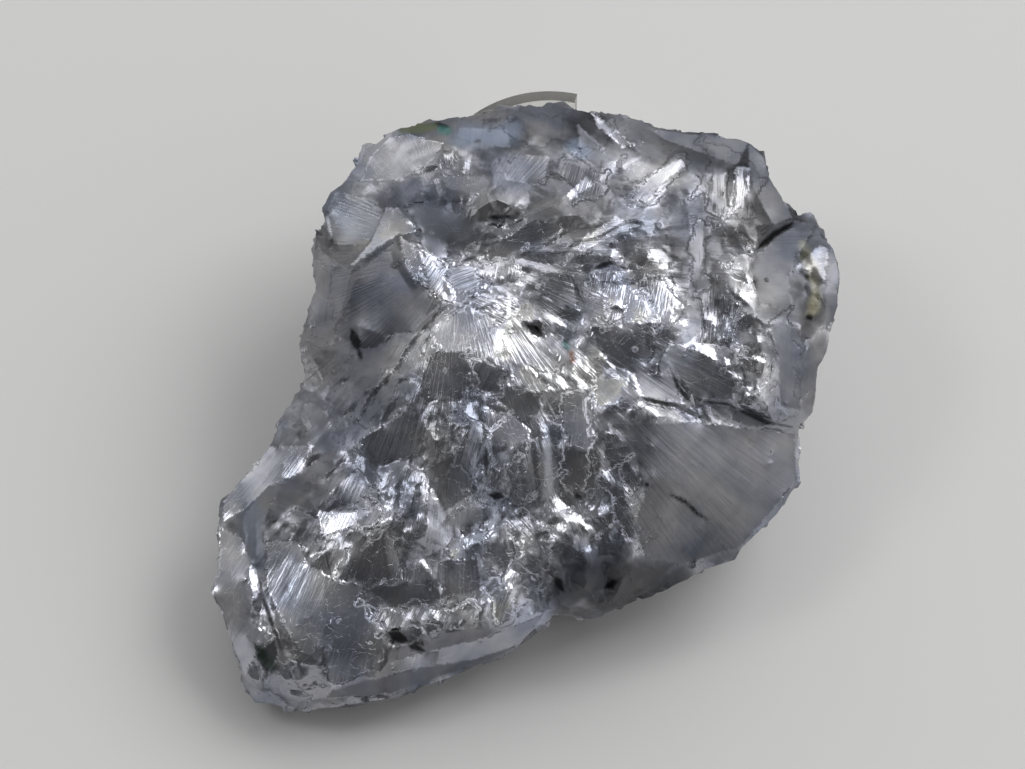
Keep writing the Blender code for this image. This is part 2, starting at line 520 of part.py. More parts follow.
def cut_sheet(corners, lines, rings):
    """The sheet inside the rim, cut into triangles along every border."""
    points = [Vector(p) for p in RIM]
    edges = [(k, (k + 1) % len(RIM)) for k in range(len(RIM))]
    used = {}
    for a, b in lines:
        near = np.abs(corners[[a, b]]).max() < 48.0
        if not near:
            continue
        for end in (a, b):
            if end not in used:
                used[end] = len(points)
                points.append(Vector(corners[end]))
        edges.append((used[a], used[b]))
    for ring in rings:
        first = len(points)
        points += [Vector(p) for p in ring]
        edges += [(first + k, first + (k + 1) % len(ring)) for k in range(len(ring))]
    found = delaunay_2d_cdt(points, edges, [], 0, 2e-2)
    places = np.array([tuple(p) for p in found[0]])
    triangles = np.array(found[2])
    triangles = triangles[inside_rim(places[triangles].mean(axis=1))]
    used = np.unique(triangles)
    order = np.full(len(places), -1)
    order[used] = np.arange(len(used))
    places, triangles = places[used], order[triangles]
    a, b, c = (places[triangles[:, k]] for k in range(3))
    turn = (b[:, 0] - a[:, 0]) * (c[:, 1] - a[:, 1]) - (b[:, 1] - a[:, 1]) * (c[:, 0] - a[:, 0])
    triangles[turn < 0] = triangles[turn < 0][:, ::-1]
    return places, triangles


def rim_loop(triangles):
    """The border of a cut sheet, in order and anticlockwise."""
    follow = {}
    sides = {}
    for triangle in triangles:
        for a, b in zip(triangle, np.roll(triangle, -1)):
            sides[(a, b)] = True
    for a, b in sides:
        if (b, a) not in sides:
            follow[a] = b
    start = next(iter(follow))
    loop = [start]
    while follow[loop[-1]] != start:
        loop.append(follow[loop[-1]])
    return loop


def relax(applied, pull, start, stiffness):
    """The heights that a stiff sheet takes under a pull, found step by step."""
    heights = start
    left = pull - applied(heights)
    step = left / stiffness
    strength = left @ step
    for _ in range(700):
        moved = applied(step)
        share = strength / max(step @ moved, 1e-30)
        heights = heights + share * step
        left = left - share * moved
        if np.abs(left).max() < 1e-7:
            break
        eased = left / stiffness
        fresh = left @ eased
        step = eased + fresh / strength * step
        strength = fresh
    return heights


def fit_heights(places, triangles, face, targets, base, hold, rim, rim_height, rounds):
    """Heights whose triangles take the wanted slopes as nearly as they can."""
    count = len(places)
    corner = places[triangles]
    side_a, side_b = corner[:, 1] - corner[:, 0], corner[:, 2] - corner[:, 0]
    twice = side_a[:, 0] * side_b[:, 1] - side_a[:, 1] * side_b[:, 0]
    twice = np.maximum(twice, 1e-6)
    shape = np.zeros((len(triangles), 3, 2))
    for k in range(3):
        edge = corner[:, (k + 2) % 3] - corner[:, (k + 1) % 3]
        shape[:, k, 0] = -edge[:, 1] / twice
        shape[:, k, 1] = edge[:, 0] / twice
    area = np.sqrt(twice / 2.0) * 0.6 + twice / 2.0 * 0.4
    weight = np.zeros(count)
    for k in range(3):
        np.add.at(weight, triangles[:, k], hold * twice / 6.0)
    wanted = base.copy()
    weight[rim] += 1.2
    wanted[rim] = rim_height

    def applied(values):
        slope = (shape * values[triangles][:, :, None]).sum(axis=1) * area[:, None]
        out = weight * values
        for k in range(3):
            out += np.bincount(triangles[:, k], (shape[:, k] * slope).sum(axis=1), count)
        return out

    stiffness = weight.copy()
    for k in range(3):
        own = area * (shape[:, k] ** 2).sum(axis=1)
        stiffness += np.bincount(triangles[:, k], own, count)
    heights = base.copy()
    faces = int(face.max()) + 1
    total = np.bincount(face, area, faces)
    aim = targets
    for _ in range(rounds):
        pull = weight * wanted
        for k in range(3):
            np.add.at(pull, triangles[:, k], area * (shape[:, k] * aim).sum(axis=1))
        heights = relax(applied, pull, heights, stiffness)
        slope = (shape * heights[triangles][:, :, None]).sum(axis=1)
        level = np.stack([np.bincount(face, area * slope[:, k], faces) for k in range(2)], -1)
        level = level / np.maximum(total, 1e-9)[:, None]
        aim = 0.45 * targets + 0.55 * level[face]
    return heights


def build_face(rng):
    """The broad front: places, heights and triangles."""
    seeds, owners, slopes, bands = place_faces(rng)
    fill_between(rng, seeds, owners, slopes, bands, 1.62)
    corners, lines = face_borders(seeds, owners)
    corners, lines = merge_close(corners, lines, 0.22)
    corners = near_rim_moved(corners, 0.3)
    rings = []
    for (x, y), radius, steep in HOLLOWS:
        for size, count in ((1.0, 9), (0.45, 5)):
            turn = rng.uniform(0.0, 1.0) + np.arange(count) * 2.0 * math.pi / count
            reach = radius * size * rng.uniform(0.65, 1.4, count)
            ring = to_sheet(x, y) + reach[:, None] * np.stack((np.cos(turn), np.sin(turn)), -1)
            rings.append(ring)
    places, triangles = cut_sheet(corners, lines, rings)
    middles = places[triangles].mean(axis=1)
    seeds = np.array(seeds)
    nearest = np.array([np.argmin(((seeds - m) ** 2).sum(axis=1)) for m in middles])
    face = np.array(owners)[nearest]
    targets = SLOPE_GAIN * np.array(slopes)[face]
    extra = int(face.max()) + 1
    for (x, y), radius, steep in HOLLOWS:
        away = middles - to_sheet(x, y)
        far = np.linalg.norm(away, axis=1)
        wall = (far < radius) & (far > 0.4 * radius)
        targets[wall] = 0.4 * targets[wall] + steep * away[wall] / far[wall][:, None]
        face[wall] = extra + np.arange(wall.sum())
        extra += int(wall.sum())
        floor = far <= 0.4 * radius
        face[floor] = extra
        extra += 1
    base = face_base(places)
    rim = np.array(rim_loop(triangles))
    rim_height = RIM_HEIGHT - RIM_FALL * places[rim][:, 1] + 1.2 * np.sin(0.35 * np.arange(len(rim)))
    heights = fit_heights(places, triangles, face, targets, base, BASE_HOLD, rim, rim_height, 6)
    return places, heights, triangles, list(rim)


def build_underside(rng):
    """The hidden side, broken into larger faces."""
    low, high = RIM.min(axis=0), RIM.max(axis=0)
    tries = rng.uniform(low, high, (9000, 2))
    tries = tries[inside_rim(tries)]
    seeds = np.zeros((0, 2))
    for point in tries:
        if len(seeds) and np.min(np.sum((seeds - point) ** 2, axis=1)) < 3.1 ** 2:
            continue
        seeds = np.vstack((seeds, point))
    owners = list(range(len(seeds)))
    slopes = base_slope(seeds, under_base) + rng.normal(0.0, 0.3, seeds.shape)
    corners, lines = face_borders(list(seeds), owners)
    corners, lines = merge_close(corners, lines, 0.5)
    corners = near_rim_moved(corners, 0.6)
    places, triangles = cut_sheet(corners, lines, [])
    middles = places[triangles].mean(axis=1)
    face = np.array([np.argmin(((seeds - m) ** 2).sum(axis=1)) for m in middles])
    base = under_base(places)
    rim = np.array(rim_loop(triangles))
    heights = fit_heights(places, triangles, face, slopes[face], base, 0.03, rim, base[rim], 5)
    return places, heights, triangles, list(rim)


def to_world(places, heights):
    """Sheet positions and heights above the sheet, stood up over the table."""
    up = places[:, 1]
    depth = RISE[1] * up - RISE[0] * heights
    rise = RISE[0] * up + RISE[1] * heights
    return np.stack((places[:, 0], depth, rise), -1)


def angle_of(places):
    """Where each rim point lies around the sheet's middle."""
    return np.mod(np.arctan2(places[:, 1], places[:, 0]), 2.0 * math.pi)


def bridge(upper, upper_angle, lower, lower_angle):
    """Triangles between two loops that both run anticlockwise."""
    upper_start = int(np.argmin(upper_angle))
    lower_start = int(np.argmin(lower_angle))
    upper = upper[upper_start:] + upper[:upper_start]
    lower = lower[lower_start:] + lower[:lower_start]
    a = np.append(np.roll(upper_angle, -upper_start), upper_angle[upper_start] + 2 * math.pi)
    b = np.append(np.roll(lower_angle, -lower_start), lower_angle[lower_start] + 2 * math.pi)
    a, b = np.maximum.accumulate(a), np.maximum.accumulate(b)
    i = j = 0
    triangles = []
    while i < len(upper) or j < len(lower):
        top, low = upper[i % len(upper)], lower[j % len(lower)]
        if j >= len(lower) or (i < len(upper) and a[i + 1] <= b[j + 1]):
            triangles.append((top, low, upper[(i + 1) % len(upper)]))
            i += 1
        else:
            triangles.append((top, low, lower[(j + 1) % len(lower)]))
            j += 1
    return triangles


def side_loop(rng, count, taper, front, back, share):
    """A rough loop part of the way down the sides."""
    angle = (np.arange(count) + rng.uniform(-0.3, 0.3, count)) * 2.0 * math.pi / count
    angle = np.sort(np.mod(angle, 2.0 * math.pi))
    way = np.stack((np.cos(angle), np.sin(angle)), -1)
    reach = 1.0 / rim_share(way)
    places = way * (reach * (taper + rng.uniform(-0.012, 0.012, count)))[:, None]
    top = np.interp(angle, front[0], front[1], period=2.0 * math.pi)
    low = np.interp(angle, back[0], back[1], period=2.0 * math.pi)
    heights = top + (low - top) * (share + rng.uniform(-0.09, 0.09, count))
    return places, heights, angle


def build_galena():
    """The lump: broken face, sides and underside in one closed skin."""
    rng = np.random.default_rng(SEED)
    front, front_height, front_triangles, front_rim = build_face(rng)
    under, under_height, under_triangles, under_rim = build_underside(rng)
    under = under * UNDER_TAPER
    table = -RISE[0] * under[:, 1] / RISE[1]
    under_height = np.maximum(under_height, table)
    world_back = to_world(under, under_height)[:, 1]
    over_ring = (UNDER_CLEAR - RISE[0] * under[:, 1]) / RISE[1]
    under_height = np.where(world_back > 1.0, np.maximum(under_height, over_ring), under_height)
    front_height = np.maximum(front_height, -RISE[0] * front[:, 1] / RISE[1] + 0.2)
    front_angle = angle_of(front[front_rim])
    under_angle = angle_of(under[under_rim])
    order_a, order_b = np.argsort(front_angle), np.argsort(under_angle)
    top = (front_angle[order_a], front_height[front_rim][order_a])
    low = (under_angle[order_b], under_height[under_rim][order_b])
    loops = [side_loop(rng, 62, 0.992, top, low, 0.3), side_loop(rng, 50, 0.968, top, low, 0.68)]
    places = [front, under] + [loop[0] for loop in loops]
    heights = [front_height, under_height] + [loop[1] for loop in loops]
    first = np.cumsum([0] + [len(part) for part in places])
    triangles = [tuple(t) for t in front_triangles]
    triangles += [tuple(t[::-1] + first[1]) for t in under_triangles]
    chain = [(list(front_rim), front_angle)]
    for k, loop in enumerate(loops):
        chain.append((list(range(first[2 + k], first[3 + k])), loop[2]))
    chain.append(([first[1] + v for v in under_rim], under_angle))
    for (upper, upper_angle), (lower, lower_angle) in zip(chain[:-1], chain[1:]):
        triangles += bridge(upper, upper_angle, lower, lower_angle)
    points = to_world(np.vstack(places), np.concatenate(heights))
    return points, triangles


def add_node(name, points, triangles, material):
    """One named solid, made clean and facing outward."""
    mesh = bmesh.new()
    corners = [mesh.verts.new(Vector(p) * MM) for p in points]
    for triangle in triangles:
        if len(set(triangle)) == len(triangle):
            mesh.faces.new([corners[int(c)] for c in triangle])
    loose = [v for v in mesh.verts if not v.link_faces]
    bmesh.ops.delete(mesh, geom=loose, context="VERTS")
    bmesh.ops.recalc_face_normals(mesh, faces=mesh.faces)
    data = bpy.data.meshes.new(name)
    mesh.to_mesh(data)
    mesh.free()
    data.materials.append(material)
    node = bpy.data.objects.new(name, data)
    bpy.context.scene.collection.objects.link(node)
    return node


def ring_levels(turn):
    """Whether a turn around the ring falls on a prong."""
    offset = (turn - RING_FIRST_PRONG) % (360.0 / RING_PRONGS)
    return min(offset, 360.0 / RING_PRONGS - offset) < RING_PRONG_SPAN / 2.0


def build_ring():
    """A short clear tube with a ring of square prongs along its top."""
    half = RING_PRONG_SPAN / 2.0
    turns = []
    for k in range(RING_PRONGS):
        middle = RING_FIRST_PRONG + k * 360.0 / RING_PRONGS
        turns += list(np.linspace(middle - half, middle + half, 13))
        turns += list(np.linspace(middle + half, middle + 360.0 / RING_PRONGS - half, 9)[1:-1])
    count = len(turns)
    points, index = [], {}
    for k, turn in enumerate(turns):
        way = np.array((math.sin(math.radians(turn)), math.cos(math.radians(turn))))
        for side, reach in (("out", RING_RADIUS), ("in", RING_RADIUS - RING_WALL)):
            for level, z in ((0, 0.0), (1, RING_NOTCH_FLOOR), (2, RING_HEIGHT)):
                index[(k, side, level)] = len(points)
                points.append((RING_CENTRE[0] + reach * way[0],
                               RING_CENTRE[1] + reach * way[1], z))
    quads = []

    def quad(*keys):
        quads.append([index[key] for key in keys])

    for k in range(count):
        n = (k + 1) % count
        span = (turns[n] - turns[k]) % 360.0
        raised = ring_levels(turns[k] + span / 2.0)
        top = 2 if raised else 1
        for level in range(top):
            quad((k, "out", level), (n, "out", level), (n, "out", level + 1),
                 (k, "out", level + 1))
            quad((n, "in", level), (k, "in", level), (k, "in", level + 1),
                 (n, "in", level + 1))
        quad((k, "out", top), (n, "out", top), (n, "in", top), (k, "in", top))
        quad((k, "in", 0), (n, "in", 0), (n, "out", 0), (k, "out", 0))
        before = ring_levels(turns[k] - 1.0)
        if before != raised:
            quad((k, "out", 1), (k, "in", 1), (k, "in", 2), (k, "out", 2))
    return points, quads


def make_material(name, colour, metallic, roughness, clear=0.0, index=1.5):
    """One plain surface with its own settings."""
    material = bpy.data.materials.new(name)
    material.use_nodes = True
    shader = material.node_tree.nodes["Principled BSDF"]
    shader.inputs["Base Color"].default_value = (*colour, 1.0)
    shader.inputs["Metallic"].default_value = metallic
    shader.inputs["Roughness"].default_value = roughness
    shader.inputs["Transmission Weight"].default_value = clear
    shader.inputs["IOR"].default_value = index
    return material


def main():
    for item in list(bpy.data.objects):
        bpy.data.objects.remove(item, do_unlink=True)
    stone = make_material("galena", (0.30, 0.31, 0.34), 0.85, 0.36)
    clear = make_material("clear_plastic", (0.92, 0.92, 0.88), 0.0, 0.08, 1.0, 1.49)
    points, triangles = build_galena()
    ring_points, ring_quads = build_ring()
    everything = np.vstack((points, ring_points))
    middle = (everything.min(axis=0) + everything.max(axis=0)) / 2.0
    middle[2] = 0.0
    add_node("galena", points - middle, triangles, stone)
    add_node("ring_stand", np.array(ring_points) - middle, ring_quads, clear)


main()
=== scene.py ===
import math

import bmesh
import bpy
import numpy as np
from mathutils import Matrix, Vector


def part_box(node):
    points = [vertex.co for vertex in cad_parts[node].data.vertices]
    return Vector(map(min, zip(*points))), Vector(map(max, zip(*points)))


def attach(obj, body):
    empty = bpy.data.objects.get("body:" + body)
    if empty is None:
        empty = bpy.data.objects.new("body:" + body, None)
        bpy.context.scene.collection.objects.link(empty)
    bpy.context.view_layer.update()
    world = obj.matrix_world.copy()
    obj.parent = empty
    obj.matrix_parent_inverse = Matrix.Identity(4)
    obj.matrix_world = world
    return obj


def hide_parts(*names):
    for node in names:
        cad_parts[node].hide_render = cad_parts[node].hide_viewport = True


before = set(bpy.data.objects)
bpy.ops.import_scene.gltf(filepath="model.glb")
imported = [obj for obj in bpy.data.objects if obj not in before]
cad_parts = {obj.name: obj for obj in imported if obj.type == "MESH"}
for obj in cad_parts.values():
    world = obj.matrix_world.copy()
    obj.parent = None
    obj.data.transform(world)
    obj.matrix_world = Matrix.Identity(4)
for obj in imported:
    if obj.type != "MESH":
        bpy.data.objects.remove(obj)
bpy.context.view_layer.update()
print("frame loaded")

mm = 0.001

# The broad face is set out on a sheet square to the camera: mm from its top left corner
sheet = {
    "middle": (52.0, 40.0),       # the sheet point over "place"
    "place": (-0.6, 3.444, 0.0),  # where that point stands on the floor
    "lean": 60.0,                 # degrees the camera's line rises above the floor
}
lean = math.radians(sheet["lean"])
sheetRight = np.array((1.0, 0.0, 0.0))
sheetUp = np.array((0.0, math.sin(lean), math.cos(lean)))
sheetOut = np.array((0.0, -math.cos(lean), math.sin(lean)))


def sheetToRow(x, y, out):
    # a sheet point, raised off the sheet by out, in mm of the row frame
    right, up = x - sheet["middle"][0], sheet["middle"][1] - y
    return np.array(sheet["place"]) + right * sheetRight + up * sheetUp + out * sheetOut


def rowToSheet(points):
    # x, y and height off the sheet of many row points, in mm
    away = points - np.array(sheet["place"])
    return np.stack((away @ sheetRight + sheet["middle"][0],
                     sheet["middle"][1] - away @ sheetUp, away @ sheetOut), -1)


# Camera

cameraSettings = {
    "distance": 1200.0,   # mm from the sharpest part of the face
    "frameWidth": 102.5,  # mm across the picture there
    "frameMiddle": (51.25, 38.45, 15.0),
}


def makeCamera():
    data = bpy.data.cameras.new("camera")
    data.sensor_width = 36.0
    data.lens = 36.0 * cameraSettings["distance"] / cameraSettings["frameWidth"]
    data.clip_start, data.clip_end = 0.05, 20.0
    camera = bpy.data.objects.new("camera", data)
    bpy.context.scene.collection.objects.link(camera)
    place = sheetToRow(*cameraSettings["frameMiddle"]) + cameraSettings["distance"] * sheetOut
    turn = Matrix((sheetRight, sheetUp, sheetOut)).transposed().to_4x4()
    camera.matrix_world = Matrix.Translation(Vector(place * mm)) @ turn
    bpy.context.scene.camera = camera


makeCamera()
print("camera set")


# Small helpers

def addObject(name, mesh):
    piece = bpy.data.objects.new(name, mesh)
    bpy.context.scene.collection.objects.link(piece)
    return piece


def meshArrays(mesh):
    points = np.empty(len(mesh.vertices) * 3)
    normals = np.empty(len(mesh.vertices) * 3)
    mesh.vertices.foreach_get("co", points)
    mesh.vertex_normals.foreach_get("vector", normals)
    return points.reshape(-1, 3) / mm, normals.reshape(-1, 3)


def sheetPlaces(mesh):
    # x, y and height off the sheet of a mesh's points, in mm
    points, _ = meshArrays(mesh)
    return rowToSheet(points)


def storeValue(mesh, name, values):
    layer = mesh.attributes.new(name, "FLOAT", "POINT")
    layer.data.foreach_set("value", np.asarray(values, dtype=np.float32))


# Stone: the solid's own shape, cut fine enough to carry its small breaks

stone = {
    "frontEdge": 0.36,  # mm, longest edge on the broad face
    "otherEdge": 1.1,
    "turn": (-0.05, 0.2),  # where the change between them starts, and its span
    "cutRounds": 6,
    "seam": 0.002,  # mm between points that are one
}


def cutFine(mesh):
    work = bmesh.new()
    work.from_mesh(mesh)
    bmesh.ops.remove_doubles(work, verts=work.verts, dist=stone["seam"] * mm)
    bmesh.ops.triangulate(work, faces=work.faces)
    facing = Vector(sheetOut)
    turnStart, turnSpan = stone["turn"]
    for _ in range(stone["cutRounds"]):
        work.normal_update()
        longEdges = []
        for edge in work.edges:
            front = max(face.normal.dot(facing) for face in edge.link_faces)
            share = min(1.0, max(0.0, (front - turnStart) / turnSpan))
            limit = stone["otherEdge"] + (stone["frontEdge"] - stone["otherEdge"]) * share
            if edge.calc_length() > limit * mm:
                longEdges.append(edge)
        if not longEdges:
            break
        bmesh.ops.subdivide_edges(work, edges=longEdges, cuts=1)
        bmesh.ops.triangulate(work, faces=[f for f in work.faces if len(f.verts) > 3])
    fine = bpy.data.meshes.new("galena_stone")
    work.to_mesh(fine)
    work.free()
    return fine


fineMesh = cutFine(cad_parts["galena"].data)
print("stone cut fine:", len(fineMesh.polygons), "triangles")

stonePiece = addObject("galena_stone", fineMesh)
fineMesh.materials.clear()


# Fine breaks given on the sheet. A way is (facing, tilt) as the camera sees it:
# facing 0 is right and 90 up, and "flash" is the way that catches the big light.

flash, pale = (143, 26), (122, 12)
dull, dark, deep = (330, 14), (310, 25), (300, 48)
calmFaces = [
    # broad smooth faces: path, half width, way
    ((45.6, 33.0, 48.2, 34.6), 1.9, (112, 11)), ((44.0, 36.8, 45.2, 38.6), 1.5, (320, 12)),
    ((38.0, 44.8, 41.0, 43.0), 1.5, (270, 14)), ((51.8, 34.4, 54.0, 36.0), 1.2, (60, 8)),
    ((57.3, 40.4, 57.4, 42.8), 1.2, (95, 9)), ((56.7, 45.8, 56.8, 48.4), 1.1, (290, 14)),
    ((49.8, 42.8, 51.6, 43.8), 1.0, pale), ((51.4, 39.8, 53.2, 40.8), 0.9, dull),
    ((28.0, 55.6, 29.6, 58.8, 31.0, 62.0, 31.2, 65.0), 1.5, (95, 6)),
    ((34.4, 60.0, 34.8, 66.2), 1.9, (60, 5)), ((38.3, 53.4, 37.8, 57.6), 1.0, (290, 10)),
    ((34.6, 47.8, 36.2, 49.2), 1.1, (280, 12)), ((28.8, 43.8, 29.6, 46.8), 1.1, (95, 9)),
    ((31.4, 41.2, 32.4, 44.4), 1.2, (80, 8)), ((26.0, 48.0, 28.2, 46.9), 1.0, (110, 10)),
    ((35.6, 22.6, 37.2, 22.2), 1.6, (290, 14)), ((42.9, 21.6, 43.6, 24.8), 1.2, (320, 20)),
    ((45.0, 22.0, 46.6, 24.0), 1.0, (290, 20)), ((45.4, 18.7, 48.2, 17.9), 1.1, pale),
    ((46.4, 14.4, 50.8, 13.0), 1.0, (70, 26)), ((36.6, 29.0, 37.0, 33.6), 1.4, (260, 26)),
    ((67.4, 36.2, 71.2, 37.4), 1.5, (315, 15)), ((60.8, 33.6, 64.2, 35.4), 1.0, (290, 22)),
    ((58.3, 28.2, 58.9, 31.0), 1.0, (95, 10)), ((72.0, 27.4, 74.0, 26.4), 0.9, pale),
    ((78.3, 33.2, 78.7, 40.4), 1.0, (20, 14)), ((69.7, 22.6, 69.9, 28.2), 0.8, (340, 24)),
    ((65.0, 44.4, 77.4, 46.4), 2.6, (325, 9)), ((65.6, 49.8, 76.0, 50.6), 2.2, (310, 14)),
    ((66.4, 53.8, 73.2, 54.4), 1.7, (300, 19)), ((71.6, 18.4, 71.8, 20.4), 0.8, (60, 18)),
    ((45.0, 57.0, 46.8, 59.0), 1.3, (90, 7)), ((41.6, 57.0, 43.0, 59.4), 1.1, (300, 8)),
    ((50.6, 16.2, 53.4, 16.6), 1.0, (60, 16)), ((57.2, 17.4, 59.0, 18.6), 1.1, (100, 12)),
]
